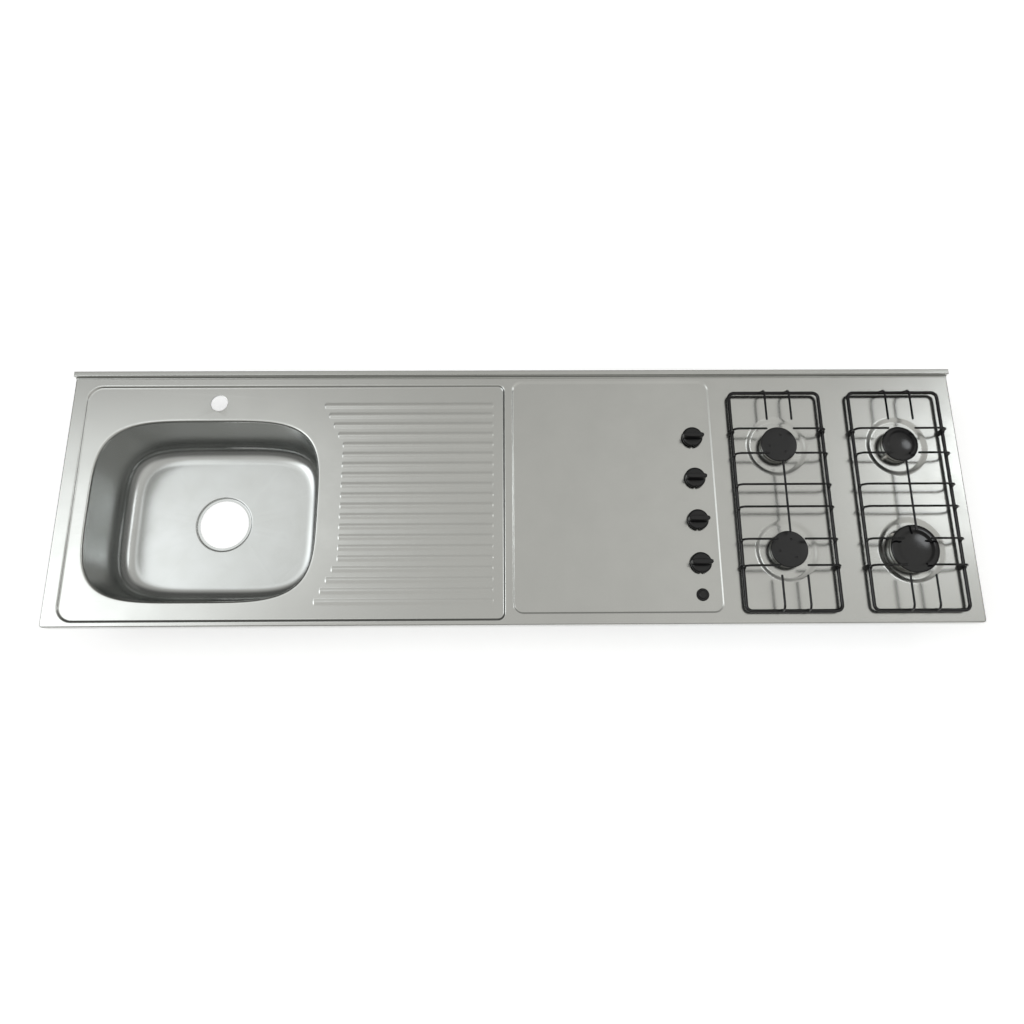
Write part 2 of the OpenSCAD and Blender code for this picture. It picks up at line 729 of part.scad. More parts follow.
// Flame ring: skirt that drops into the cup, and a slotted rim round an open throat
module flame_ring(i) {
    r = ring_r(i);
    s = spigot_r(i);
    inner = r - ring_rim;
    color([0.70, 0.69, 0.66]) place() translate(burner_pos(i)) difference() {
        rotate_extrude() polygon([
            [s - 2.5, ring_seat - 8], [s, ring_seat - 8], [s, ring_seat], [r - 1, ring_seat],
            [r, ring_seat + 1], [r, ring_top - 1], [r - 0.5, ring_top], [inner, ring_top],
            [inner - 1.5, ring_top - port_h - 4], [throat_r + 4, ring_seat + 4],
            [throat_r + 2, ring_top - 3], [throat_r, ring_top - 3], [throat_r, ring_seat + 1],
            [s - 2.5, ring_seat + 1]]);
        for (k = [0:360 / port_angle - 1]) rotate([0, 0, (k + 0.5) * port_angle])
            translate([inner - 2, -port_w / 2, ring_top - port_h])
                cube([ring_rim + 2 + cut, port_w, port_h + cut]);
    }
}

module burner_cap(i) {
    r = cap_r(i);
    lip = ring_r(i) - ring_rim - play;
    top = ring_top + cap_t;
    h = cap_dome;
    // Radius of the sphere whose top cap rises h over the flat rim
    dome = (pow(r - 2, 2) + h * h) / (2 * h);
    face = is_domed(i)
        ? concat([[r, top - 1.5], [r - 0.6, top - 0.4], [r - 2, top]],
                 [for (k = [5:-1:0]) let (w = asin((r - 2) / dome) * k / 6)
                     [dome * sin(w), top + h - dome * (1 - cos(w))]])
        : [[r, top - 1.5], [r - 0.4, top - 0.4], [r - 1.5, top], [0, top]];
    color(is_domed(i) ? [0.06, 0.06, 0.07] : [0.13, 0.13, 0.13]) place() translate(burner_pos(i))
        rotate_extrude() polygon(concat(
            [[0, ring_top + 1.5], [lip - 2, ring_top + 1.5], [lip - 2, ring_top - 2], [lip, ring_top - 2],
             [lip, ring_top], [r - 0.8, ring_top], [r, ring_top + 0.8]], face));
}

module cup_screws() {
    color([0.60, 0.60, 0.58]) place() for (i = [0:3]) at_cup_screws(i)
        translate([0, 0, dish_z]) mirror([0, 0, 1]) {
            translate([0, 0, -1]) cylinder(r1 = 1.8, r2 = 2.6, h = 1, $fn = 24);
            cylinder(r = cup_screw_r, h = 9, $fn = 24);
        }
}

// Brass jets, screwed into the cup floors over the galleries
module injectors() {
    color([0.72, 0.58, 0.30]) place() for (i = [0:3]) translate(burner_pos(i)) difference() {
        union() {
            translate([0, 0, gallery_z + port_r + 0.5]) cylinder(r = 3, h = 3 - cup_depth - gallery_z - port_r);
            translate([0, 0, 3 - cup_depth]) linear_extrude(4) hex(8);
            translate([0, 0, 7 - cup_depth]) cylinder(r1 = 3, r2 = 2, h = 4);
        }
        translate([0, 0, gallery_z]) cylinder(r = 1.2, h = 12);
        translate([0, 0, gallery_z]) cylinder(r = 0.5, h = 20, $fn = 24);
    }
}

module spark_electrodes() {
    color([0.93, 0.92, 0.88]) place() for (i = [0:3]) translate(spark_pos(i)) {
        translate([0, 0, spark_bottom]) cylinder(r = spark_r, h = 8 - spark_bottom);
        translate([0, 0, dish_z - sheet_t - 3]) cylinder(r = spark_r + 1.7, h = 3);
        cylinder(r = 0.9, h = ring_top - 2.5, $fn = 24);
    }
}

// ---- Pan supports ----

// Where a foot stands, to the left or right and to the front or rear of the grate's middle
function foot_pos(sx, sy) = [sx * (grate_w / 2 - frame_wire / 2), sy * bar_outer];

module at_grate(side) {
    place() translate([burner_pos(side == "left" ? 0 : 2)[0], grate_y, 0]) children();
}

module bar(p) {
    along(p, bar_bend) circle(d = bar_wire, $fn = 24);
}

module grate(side) {
    x = grate_w / 2 - frame_wire / 2;
    y = grate_l / 2 - frame_wire / 2;
    r = frame_r - frame_wire / 2;
    color([0.10, 0.10, 0.11]) at_grate(side) {
        translate([0, 0, frame_z]) {
            for (s = [-1, 1]) {
                translate([s * x, y - r, 0]) rotate([90, 0, 0])
                    cylinder(d = frame_wire, h = 2 * (y - r), $fn = 24);
                translate([r - x, s * y, 0]) rotate([0, 90, 0])
                    cylinder(d = frame_wire, h = 2 * (x - r), $fn = 24);
            }
            for (c = [[1, 1, 0], [-1, 1, 90], [-1, -1, 180], [1, -1, 270]])
                translate([c[0] * (x - r), c[1] * (y - r), 0]) rotate([0, 0, c[2]])
                    rotate_extrude(angle = 90) translate([r, 0]) circle(d = frame_wire, $fn = 24);
        }
        for (b = [-bar_mid, bar_mid])
            bar([[-x, b, frame_z], [-x, b, bar_z], [x, b, bar_z], [x, b, frame_z]]);
        for (s = [-1, 1], b = [-bar_outer, -bar_inner, bar_inner, bar_outer])
            bar([[s * x, b, frame_z], [s * x, b, bar_z], [s * bar_gap, b, bar_z]]);
        for (s = [-1, 1], b = [-bar_side, bar_side])
            bar([[b, s * y, frame_z], [b, s * y, bar_z], [b, s * (y - bar_short), bar_z]]);
        translate([0, bar_centre, bar_z - 1.5]) rotate([90, 0, 0])
            cylinder(d = bar_wire, h = 2 * bar_centre, $fn = 24);
    }
}

// Rubber shoes pushed up on to the frame wire
module grate_feet(side) {
    color([0.16, 0.16, 0.16]) at_grate(side) for (sx = [-1, 1], sy = [-1, 1])
        translate(foot_pos(sx, sy)) difference() {
            cylinder(d1 = foot_d - 2, d2 = foot_d, h = frame_z);
            translate([0, foot_d, frame_z]) rotate([90, 0, 0])
                cylinder(d = frame_wire, h = 2 * foot_d, $fn = 24);
        }
}

// ---- Controls ----

module at_tap(i) {
    place() translate([knob_x, knob_y(i), 0]) children();
}

// Spindle section with a flat, f larger than the spindle's radius all round
module d_section(f) {
    intersection() {
        circle(shaft_r + f);
        translate([-shaft_r - f, -shaft_r - f]) square([2 * shaft_r + 2 * f, 2 * shaft_r - 1.5 + f]);
    }
}

module knob(i) {
    r = knob_d / 2;
    h = skirt_z + skirt_t;
    color([0.05, 0.05, 0.055]) at_tap(i) difference() {
        union() {
            difference() {
                translate([0, 0, skirt_z]) rotate_extrude() polygon([[0, 0], [r, 0], [r, 1.5],
                    [r - 1.2, skirt_t - 1], [r - 2.4, skirt_t], [0, skirt_t]]);
                translate([0, 0, skirt_z - cut]) cylinder(r = r - 2, h = skirt_t - 1);
                // Indicator notch in the skirt's front
                translate([0, 0, skirt_z - cut]) linear_extrude(skirt_t + 2 * cut)
                    polygon([[-2.6, -r - 0.1], [2.6, -r - 0.1], [0, 4 - r]]);
            }
            // Grip bar with rounded ends, its sides leaning in towards the top
            intersection() {
                translate([0, 0, h - 1]) cylinder(r1 = r - 0.2, r2 = r - 0.5, h = knob_top - h + 1);
                translate([r, 0, 0]) rotate([0, -90, 0]) linear_extrude(2 * r)
                    polygon([[h - 1, -grip_w / 2], [h - 1, grip_w / 2], [knob_top - 1, grip_w / 2 - 1.4],
                             [knob_top, grip_w / 2 - 2.4], [knob_top, 2.4 - grip_w / 2],
                             [knob_top - 1, 1.4 - grip_w / 2]]);
            }
            translate([0, 0, skirt_z]) cylinder(r = shaft_r + 2.5, h = skirt_t);
        }
        translate([0, 0, skirt_z - cut]) linear_extrude(shaft_top - skirt_z + cut) d_section(run);
    }
}

module tap_spindle(i) {
    flat_z = mid_z + 5;
    color([0.70, 0.70, 0.68]) at_tap(i) {
        translate([0, 0, plug_top + 4]) cylinder(r = shaft_r, h = flat_z - plug_top - 4);
        translate([0, 0, flat_z]) linear_extrude(shaft_top - flat_z) d_section(0);
        translate([0, 0, collar_z]) cylinder(r = shaft_r + 2, h = collar_t);
        translate([-tongue_w / 2, -tongue_t / 2, plug_top + 4 - tongue_l])
            cube([tongue_w, tongue_t, tongue_l + 0.5]);
    }
}

module knob_seals() {
    color([0.10, 0.10, 0.10]) place() for (i = TAPS) translate([knob_x, knob_y(i), mid_z])
        rotate_extrude() polygon([[shaft_r + 0.3, -sheet_t], [shaft_hole - 0.1, -sheet_t],
            [shaft_hole - 0.1, 0], [shaft_hole + 3, 0], [shaft_hole + 2.5, 1], [shaft_r + 1, seal_t],
            [shaft_r + 0.3, seal_t]]);
}

// Bonnet plates over the taps; the spindles run in them
module tap_bonnets() {
    color([0.74, 0.60, 0.32]) place() for (i = TAPS) translate([knob_x, knob_y(i), tap_top - bonnet_t])
        difference() {
            translate([-bonnet_w / 2, -bonnet_l / 2, 0]) cube([bonnet_w, bonnet_l, bonnet_t]);
            translate([0, 0, -cut]) cylinder(r = shaft_r + run, h = bonnet_t + 2 * cut);
            for (s = [-1, 1]) translate([0, s * bonnet_screw, -cut])
                cylinder(r = screw_r + run, h = bonnet_t + 2 * cut, $fn = 24);
        }
}

module gas_tap(i) {
    seat = tap_top - bonnet_t;
    color([0.76, 0.61, 0.33]) at_tap(i) difference() {
        union() {
            translate([0, 0, plug_bottom - 2]) cylinder(r = tap_r, h = seat - plug_bottom + 2);
            translate([-bonnet_w / 2, -bonnet_l / 2, seat - 5]) cube([bonnet_w, bonnet_l, 5]);
            translate([-tap_block / 2, -tap_block_w / 2, -rail_z])
                cube([tap_block, tap_block_w, rail_z + plug_bottom - 1]);
            translate([0, 0, outlet_z]) rotate([0, 90, 0]) cylinder(r = outlet_r, h = outlet_l);
        }
        translate([0, 0, -rail_z]) rotate([90, 0, 0]) cylinder(r = pipe_r, h = bonnet_l, center = true);
        translate([0, 0, plug_top]) cylinder(r = plug_r_top + 0.2, h = seat - plug_top + cut);
        translate([0, 0, plug_bottom])
            cylinder(r1 = plug_r_bottom + run, r2 = plug_r_top + run, h = plug_top - plug_bottom);
        translate([0, 0, -rail_z]) cylinder(r = port_r, h = rail_z + plug_bottom + cut);
        translate([0, 0, outlet_z]) rotate([0, 90, 0]) cylinder(r = port_r, h = outlet_l);
        translate([outlet_l - feed_seat, 0, outlet_z]) rotate([0, 90, 0])
            cylinder(r = feed_r + run, h = feed_seat + cut);
        for (s = [-1, 1]) {
            translate([0, s * bonnet_screw, seat - 5 - cut])
                cylinder(r = screw_r + run, h = 5 + 2 * cut, $fn = 24);
            translate([s * clamp_screw, 0, -rail_z - cut])
                cylinder(r = screw_r + run, h = 14 + cut, $fn = 24);
        }
    }
}

// Conical plug with the spindle's slot in its top and its gas way inside
module tap_plug(i) {
    color([0.80, 0.66, 0.38]) at_tap(i) difference() {
        translate([0, 0, plug_bottom + 0.2])
            cylinder(r1 = plug_r_bottom, r2 = plug_r_top - 0.1, h = plug_top - plug_bottom - 0.2);
        translate([-tongue_w / 2 - 0.1, -tongue_t / 2 - 0.1, plug_top - slot_depth])
            cube([tongue_w + 0.2, tongue_t + 0.2, slot_depth + cut]);
        translate([0, 0, plug_bottom]) cylinder(r = port_r, h = outlet_z - plug_bottom);
        translate([0, 0, outlet_z - 0.5]) rotate([0, 90, 0]) cylinder(r = port_r - 0.4, h = plug_r_top + cut);
    }
}

module igniter_switch() {
    color([0.13, 0.13, 0.14]) place() translate([knob_x, igniter_y, 0]) difference() {
        rotate_extrude() polygon([[0, barrel_bottom], [barrel_r, barrel_bottom], [barrel_r, mid_z],
            [bezel_d / 2, mid_z], [bezel_d / 2, mid_z + 2], [bezel_d / 2 - 1.5, mid_z + 3.5],
            [button_d / 2 + 0.6, mid_z + 3.5], [0, mid_z + 3.5]]);
        translate([0, 0, button_bottom - button_push - 1])
            cylinder(r = button_d / 2 + 0.2, h = bezel_d);
    }
}

module igniter_nut() {
    z = mid_z - sheet_t - 5;
    color([0.20, 0.20, 0.21]) place() translate([knob_x, igniter_y, z]) linear_extrude(5) difference() {
        hex(2 * barrel_r + 7);
        circle(barrel_r + run);
    }
}

module igniter_button() {
    r = button_d / 2;
    color([0.06, 0.06, 0.06]) place() translate([knob_x, igniter_y, 0]) rotate_extrude()
        polygon([[0, button_bottom], [r, button_bottom], [r, mid_z + 5.5], [r - 0.6, mid_z + 6.5],
                 [r - 2, mid_z + 7], [0, mid_z + 7.4]]);
}

module spark_generator() {
    color([0.24, 0.24, 0.26]) place() translate([hob_mid[0], hob_mid[1], box_bottom]) {
        translate([-spark_box[0] / 2, -spark_box[1] / 2, 0]) cube(spark_box);
        for (s = [-1, 1], t = [-1, 1]) translate([s * 18, t * 10, spark_box[2]]) cylinder(r = 3.5, h = 4);
        for (s = [-1, 1]) translate([s * (spark_box[0] / 2 + 4) - 5, -7, 0]) cube([10, 14, 2]);
        translate([0, 0, spark_box[2]]) cylinder(r = 3, h = 4);
    }
}

module ignition_leads() {
    z = box_bottom + spark_box[2] + 4;
    color([0.62, 0.18, 0.15]) place() {
        for (i = [0:3]) {
            p = spark_pos(i);
            q = hob_mid + [sign(p[0] - hob_mid[0]) * 18, sign(p[1] - hob_mid[1]) * 10];
            along([[p[0], p[1], spark_bottom], [p[0], p[1], z + 8], [q[0], p[1], z + 8],
                   [q[0], q[1], z + 8], [q[0], q[1], z]], 6) circle(lead_r, $fn = 24);
        }
        along([[knob_x, igniter_y, barrel_bottom], [knob_x, igniter_y, z + 14],
               [hob_mid[0], igniter_y, z + 14], [hob_mid[0], hob_mid[1], z + 14],
               [hob_mid[0], hob_mid[1], z]], 6) circle(lead_r, $fn = 24);
    }
}

// ---- Gas ----

module gas_rail() {
    color([0.66, 0.64, 0.58]) place() translate([knob_x, 0, -rail_z]) difference() {
        translate([0, pipe_y1, 0]) rotate([90, 0, 0]) cylinder(r = pipe_r, h = pipe_y1 - pipe_y0);
        translate([0, pipe_y1 + cut, 0]) rotate([90, 0, 0])
            cylinder(r = pipe_r - pipe_wall, h = pipe_y1 - pipe_y0 - 3 + cut);
        for (i = TAPS) translate([0, knob_y(i), 0]) cylinder(r = port_r, h = pipe_r + cut);
    }
}

// Elbow on the rail's rear end, with the inlet thread pointing down
module gas_inlet() {
    color([0.77, 0.63, 0.35]) place() translate([knob_x, elbow_y, -rail_z]) difference() {
        union() {
            rotate([90, 0, 0]) cylinder(r = pipe_r + 2, h = elbow_y - box_y1 - galv_t);
            sphere(r = pipe_r + 2.6);
            translate([0, 0, -elbow_drop]) cylinder(r = pipe_r + 2, h = elbow_drop);
            translate([0, 0, -elbow_drop - inlet_l]) cylinder(d = inlet_d, h = inlet_l + cut);
        }
        translate([0, pipe_y1 - elbow_y, 0]) rotate([90, 0, 0])
            cylinder(r = pipe_r + run, h = pipe_y1 - box_y1);
        rotate([90, 0, 0]) cylinder(r = pipe_r - pipe_wall, h = elbow_y - box_y1);
        translate([0, 0, -elbow_drop - inlet_l - cut])
            cylinder(r = inlet_d / 2 - 3, h = elbow_drop + inlet_l + cut);
    }
}

module saddle_clamps() {
    h = pipe_r + 3;
    color([0.60, 0.62, 0.63]) place() for (i = TAPS) translate([knob_x, knob_y(i), -rail_z]) difference() {
        translate([-tap_block / 2, -tap_block_w / 2, -h]) cube([tap_block, tap_block_w, h - 0.5]);
        rotate([90, 0, 0]) cylinder(r = pipe_r, h = bonnet_l, center = true);
        for (s = [-1, 1]) translate([s * clamp_screw, 0, -h - cut])
            cylinder(r = screw_r + run, h = h + cut, $fn = 24);
    }
}

// The same screw throughout: burner box to rails, bonnets to taps, clamps to taps
module screws() {
    color([0.64, 0.65, 0.66]) place() {
        for (x = box_screw_x, y = box_screw_y) translate([x, y, rail_bottom - galv_t]) screw(screw_r, 12);
        for (i = TAPS, s = [-1, 1]) {
            translate([knob_x, knob_y(i) + s * bonnet_screw, tap_top]) mirror([0, 0, 1]) screw(screw_r, 12);
            translate([knob_x + s * clamp_screw, knob_y(i), -rail_z - pipe_r - 3]) screw(screw_r, 24);
        }
    }
}

// Path of the tube from tap i to its burner, from inside one seat to inside the other
function feed_path(i) =
    let (b = TAP_BURNER[i - 1], y = knob_y(i), x0 = knob_x + outlet_l, x1 = gallery_end(b),
         yb = burner_pos(b)[1], mid = b > 1 ? hob_mid[0] + 20 : (x0 + x1) / 2)
    [[x0 - feed_seat + 0.5, y, outlet_z], [mid, y, outlet_z], [mid, yb, gallery_z],
     [x1 + feed_seat - 0.5, yb, gallery_z]];

module feed_tube(i) {
    color([0.72, 0.45, 0.28]) place() along(feed_path(i), feed_bend) difference() {
        circle(feed_r, $fn = 24);
        circle(feed_r - 0.8, $fn = 24);
    }
}

module feed_nuts() {
    color([0.78, 0.65, 0.37]) place() for (i = TAPS) {
        b = TAP_BURNER[i - 1];
        for (p = [[knob_x + outlet_l, knob_y(i), outlet_z],
                  [gallery_end(b) - nut_l, burner_pos(b)[1], gallery_z]])
            translate(p) rotate([0, 90, 0]) linear_extrude(nut_l) difference() {
                hex(2 * nut_r);
                circle(feed_r + run);
            }
    }
}

// ---- Nodes ----

worktop_sheet();
sink_bowl();
mixer_plate();
front_rail();
rear_rail();
cross_rails();
burner_box();
screws();
cup_screws();
gas_rail();
gas_inlet();
saddle_clamps();
tap_bonnets();
knob_seals();
injectors();
feed_nuts();
spark_electrodes();
spark_generator();
ignition_leads();
igniter_switch();
igniter_nut();
igniter_button();
for (s = SIDES) {
    grate(s);
    grate_feet(s);
}
for (i = [0:3]) {
    burner_cup(i);
    flame_ring(i);
    burner_cap(i);
}
for (i = TAPS) {
    gas_tap(i);
    tap_plug(i);
    tap_spindle(i);
    knob(i);
    feed_tube(i);
}
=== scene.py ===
"""Looks of a stainless steel kitchenette top: pressed sheet, bowl, hob parts, finishes, light, camera."""
import json
import math

import bmesh
import bpy
from mathutils import Euler, Matrix, Vector, noise
from mathutils.geometry import delaunay_2d_cdt

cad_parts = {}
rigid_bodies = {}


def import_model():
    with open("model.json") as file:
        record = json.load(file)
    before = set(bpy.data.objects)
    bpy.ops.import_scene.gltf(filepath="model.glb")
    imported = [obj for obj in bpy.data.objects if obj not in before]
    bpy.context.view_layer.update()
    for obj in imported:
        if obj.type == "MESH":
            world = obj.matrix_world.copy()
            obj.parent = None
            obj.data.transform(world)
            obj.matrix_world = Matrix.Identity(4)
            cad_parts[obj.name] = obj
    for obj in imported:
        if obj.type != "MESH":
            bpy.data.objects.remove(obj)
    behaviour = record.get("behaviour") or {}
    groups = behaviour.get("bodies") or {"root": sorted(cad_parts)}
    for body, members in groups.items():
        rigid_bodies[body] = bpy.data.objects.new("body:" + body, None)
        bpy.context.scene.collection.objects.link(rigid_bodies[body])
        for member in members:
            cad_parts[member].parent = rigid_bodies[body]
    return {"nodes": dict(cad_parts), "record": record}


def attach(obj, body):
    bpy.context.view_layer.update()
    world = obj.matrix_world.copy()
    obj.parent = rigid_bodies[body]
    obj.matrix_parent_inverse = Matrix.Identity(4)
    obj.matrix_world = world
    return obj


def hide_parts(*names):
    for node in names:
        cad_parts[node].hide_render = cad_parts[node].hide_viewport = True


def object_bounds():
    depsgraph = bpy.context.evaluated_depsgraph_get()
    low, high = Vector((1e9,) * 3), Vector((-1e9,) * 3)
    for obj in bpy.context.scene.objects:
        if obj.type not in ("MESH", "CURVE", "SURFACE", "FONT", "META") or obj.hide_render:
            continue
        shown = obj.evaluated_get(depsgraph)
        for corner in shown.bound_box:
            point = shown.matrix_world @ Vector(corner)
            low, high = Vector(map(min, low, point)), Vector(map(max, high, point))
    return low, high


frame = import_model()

CAD_BOX = [list(corner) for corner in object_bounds()]
NODES = frame["nodes"]

# ---- Sizes, in millimetres: x from the left end, y from the front edge, z from the top surface ----

LENGTH, DEPTH = 2000, 576
SHEET = 0.8
EDGE_H, EDGE_R, HEM, CORNER = 30, 3, 12, 7
FACE_Y, UPSTAND_H, UPSTAND_DROP, UPSTAND_R = 564, 12, 9, 2
# Here the flat top ends and the bend up to the upstand begins
BACK_Y = FACE_Y - 3

# Pressed panels: left, right, front and rear, the radii of their left and right corners, and their height.
# The step round them is STEP_W wide, with a plain strip on both sides
STEP_W, STEP_STRIP = 6, 2.5
SINK_PANEL, SINK_RADII, SINK_Z = (30, 981, 9, 545), (36, 17), -3.0
PLAIN_PANEL, PLAIN_RADII, PLAIN_Z = (995, 1447, 22, 553), (23, 23), -1.5

# The bowl's walls come in by WALL_RUN on their way down to WALL_FOOT above its floor
BOWL_MIDDLE, BOWL_HALF, BOWL_DEPTH = (315.5, 256), (254.5, 207.5), 154
RIM_ROLL, RIM_TURN, RIM_POWER, FLOOR_POWER = 5.2, 84, 4.1, 5.0
WALL_RUN, WALL_FOOT, BOWL_FILLET = 12, 45, 40
DRAIN_R, DRAIN_SEAT_R, DRAIN_DROP = 57, 65, 3
MIXER_X, MIXER_Y, MIXER_R = 331, 503, 19

# The first and last ribs of the drainer start further left, each by one step more than its neighbour
RIB_COUNT, RIB_Y, RIB_PITCH = 20, 51, 23.4
RIB_X0, RIB_X1, RIB_STEP, RIB_STEPPED = 616, 955, 11.3, 4
RIB_HALF_W, RIB_END_R, RIB_H = 8.5, 3.2, 0.6

KNOB_X, KNOB_Y, KNOB_PITCH, KNOB_HOLE = 1401, 130, 95, 6
IGNITER_Y, IGNITER_HOLE = 62, 11

LEFT_X, RIGHT_X, FRONT_Y, REAR_Y = 1590, 1861, 156, 393
# Each burner: x, y, radius of its cap, radius of its dish in the sheet, and whether the cap is domed
BURNERS = {
    "rear_left": (LEFT_X, REAR_Y, 40, 70, False),
    "front_left": (LEFT_X, FRONT_Y, 40, 70, False),
    "rear_right": (RIGHT_X, REAR_Y, 40, 70, True),
    "front_right": (RIGHT_X, FRONT_Y, 52.5, 74, True),
}
DISH_DROP, DISH_SLOPE = 2.5, 13
# A cap's rim stands CAP_H above the top of its ring and reaches CAP_REACH beyond the hole in the sheet
RING_TOP, CAP_H, CAP_REACH = 15, 5, 12

GRATE_Y, GRATE_HALF = 271, (101.5, 246)
FRAME_Z, BAR_Z = 12, 36
FRAME_WIRE, BAR_WIRE, WIRE_BEND = 4.0, 2.5, 12
# A wire has WIRE_THIN of its radius, give or take WIRE_SWELL of it over stretches of about SWELL_L
WIRE_THIN, WIRE_SWELL, SWELL_L = 0.96, 0.05, 14
FULL_BAR_Y, BROKEN_BARS_Y, BROKEN_BAR_TIP = 25, (-153, -96, 96, 153), 30
END_BAR_X, END_BAR_L, MIDDLE_BAR_HALF = 27.5, 71, 78


def at(x, y, z=0.0):
    """Point of the sheet's own millimetres, in metres of the shared frame."""
    return Vector(((x - LENGTH / 2) / 1000, (y - (EDGE_R + HEM) / 2) / 1000, (z + EDGE_H) / 1000))


def smooth(t):
    """Even S curve from 0 to 1."""
    return t * t * (3 - 2 * t)


def bent_path(points, radius, steps=6):
    """Path in two or three dimensions with its inner corners rounded, as vectors in millimetres."""
    made = [Vector(points[0])]
    for before, corner, after in zip(points, points[1:], points[2:]):
        b = Vector(corner)
        u, v = (Vector(before) - b).normalized(), (Vector(after) - b).normalized()
        half = u.angle(v) / 2
        middle = b + (u + v).normalized() * radius / math.sin(half)
        start, end = b + u * radius / math.tan(half) - middle, b + v * radius / math.tan(half) - middle
        made += [middle + start.slerp(end, k / steps) * radius for k in range(steps + 1)]
    return made + [Vector(points[-1])]


# ---- Pressed metal, drawn as loops of points joined by strips ----


class Skin:
    """One surface built from rows of points. Rows of the same length are joined by strips of faces."""

    def __init__(self):
        self.points, self.faces = [], []

    def row(self, points):
        """Adds a row of points. Returns their numbers."""
        start = len(self.points)
        self.points.extend(at(*p) for p in points)
        return list(range(start, len(self.points)))

    def strip(self, outer, inner, closed=True):
        """Faces between two rows. Seen from the side they face, outer lies to the right of inner."""
        count = len(outer)
        for i in range(count if closed else count - 1):
            j = (i + 1) % count
            self.faces.append((outer[i], outer[j], inner[j], inner[i]))

    def rows(self, rows, closed=True):
        """Strips from each row to the next, which lies inside it."""
        made = [self.row(points) for points in rows]
        for outer, inner in zip(made, made[1:]):
            self.strip(outer, inner, closed)
        return made

    def fill(self, outer, holes=()):
        """Flat faces inside a closed row, round the closed rows in holes, which all bulge outwards."""
        loops = [outer, *holes]
        keys = [i for loop in loops for i in loop]
        flat = [self.points[i].xy * 1000 for i in keys]
        edges, start = [], 0
        for loop in loops:
            n = len(loop)
            edges += [(start + k, start + (k + 1) % n) for k in range(n)]
            start += n
        found = delaunay_2d_cdt(flat, edges, [], 2, 1e-5)
        names = [keys[origin[0]] for origin in found[3]]
        inside = [set(hole) for hole in holes]
        for face in found[2]:
            corners = tuple(names[i] for i in face)
            if not any(hole.issuperset(corners) for hole in inside):
                self.faces.append(corners)

    def cover(self, row):
        """One flat face over a closed row."""
        self.faces.append(tuple(row))

    def mesh(self, name, thickness=0.0, sharp=50):
        """The finished object, with a second skin below the first where the sheet has a thickness."""
        data = bpy.data.meshes.new(name)
        data.from_pydata([tuple(p) for p in self.points], [], self.faces)
        obj = bpy.data.objects.new(name, data)
        bpy.context.scene.collection.objects.link(obj)
        if thickness:
            wall = obj.modifiers.new("sheet", "SOLIDIFY")
            wall.thickness, wall.offset, wall.use_even_offset = thickness / 1000, -1, True
            evaluated = obj.evaluated_get(bpy.context.evaluated_depsgraph_get())
            obj.data = bpy.data.meshes.new_from_object(evaluated)
            obj.modifiers.clear()
        return smoothed(obj, sharp)


def smoothed(obj, sharp):
    """Smooth shading with sharp edges where faces meet at more than that many degrees, flats kept flat."""
    work = bmesh.new()
    work.from_mesh(obj.data)
    bmesh.ops.remove_doubles(work, verts=work.verts, dist=2e-6)
    for face in work.faces:
        face.smooth = True
    for edge in work.edges:
        edge.smooth = not (len(edge.link_faces) == 2 and edge.calc_face_angle(0) > math.radians(sharp))
    work.to_mesh(obj.data)
    work.free()
    normals = obj.modifiers.new("normals", "WEIGHTED_NORMAL")
    normals.keep_sharp, normals.weight = True, 60
    return obj


def rounded_loop(box, radii, inset, z, arc=10):
    """Rectangle seen from above with rounded left and right corners, moved inwards, counter-clockwise."""
    x0, x1, y0, y1 = box
    left, right = radii
    points = []
    for x, y, r, start in ((x0 + left, y0 + left, left, 180), (x1 - right, y0 + right, right, 270),
                           (x1 - right, y1 - right, right, 0), (x0 + left, y1 - left, left, 90)):
        for k in range(arc + 1):
            a = math.radians(start + 90 * k / arc)
            points.append((x + (r - inset) * math.cos(a), y + (r - inset) * math.sin(a), z))
    return points


def round_loop(x, y, r, z, count=64):
    """Circle seen from above, counter-clockwise."""
    return [(x + r * math.cos(math.tau * k / count), y + r * math.sin(math.tau * k / count), z)
            for k in range(count)]


def bowed_loop(middle, half, power, z, count):
    """Outline with four slightly bowed sides that run into the corners without a break."""
    points = []
    for k in range(count):
        a = math.tau * (k + 0.5) / count
        c, s = math.cos(a), math.sin(a)
        points.append((middle[0] + half[0] * math.copysign(abs(c) ** (2 / power), c),
                       middle[1] + half[1] * math.copysign(abs(s) ** (2 / power), s), z))
    return points


def pressed_step(box, radii, top, bottom):
    """Rows of the sloping step round a pressed panel, with a plain strip on both sides of it."""
    rows = [(-STEP_STRIP, top)]
    rows += [(STEP_W * k / 8, top + (bottom - top) * smooth(k / 8)) for k in range(9)]
    rows.append((STEP_W + STEP_STRIP, bottom))
    return [rounded_loop(box, radii, inset, z) for inset, z in rows]


def bowl_loop(inset, power, z):
    """Outline of the bowl, moved inwards."""
    return bowed_loop(BOWL_MIDDLE, [half - inset for half in BOWL_HALF], power, z, 160)


def rim_rows():
    """Rows where the sink panel rolls over into the bowl."""
    rows = [bowl_loop(-3, RIM_POWER, SINK_Z)]
    for k in range(8):
        a = math.radians(RIM_TURN * k / 7)
        inset, drop = RIM_ROLL * math.sin(a), RIM_ROLL * (1 - math.cos(a))
        rows.append(bowl_loop(inset, RIM_POWER, SINK_Z - drop))
    return rows


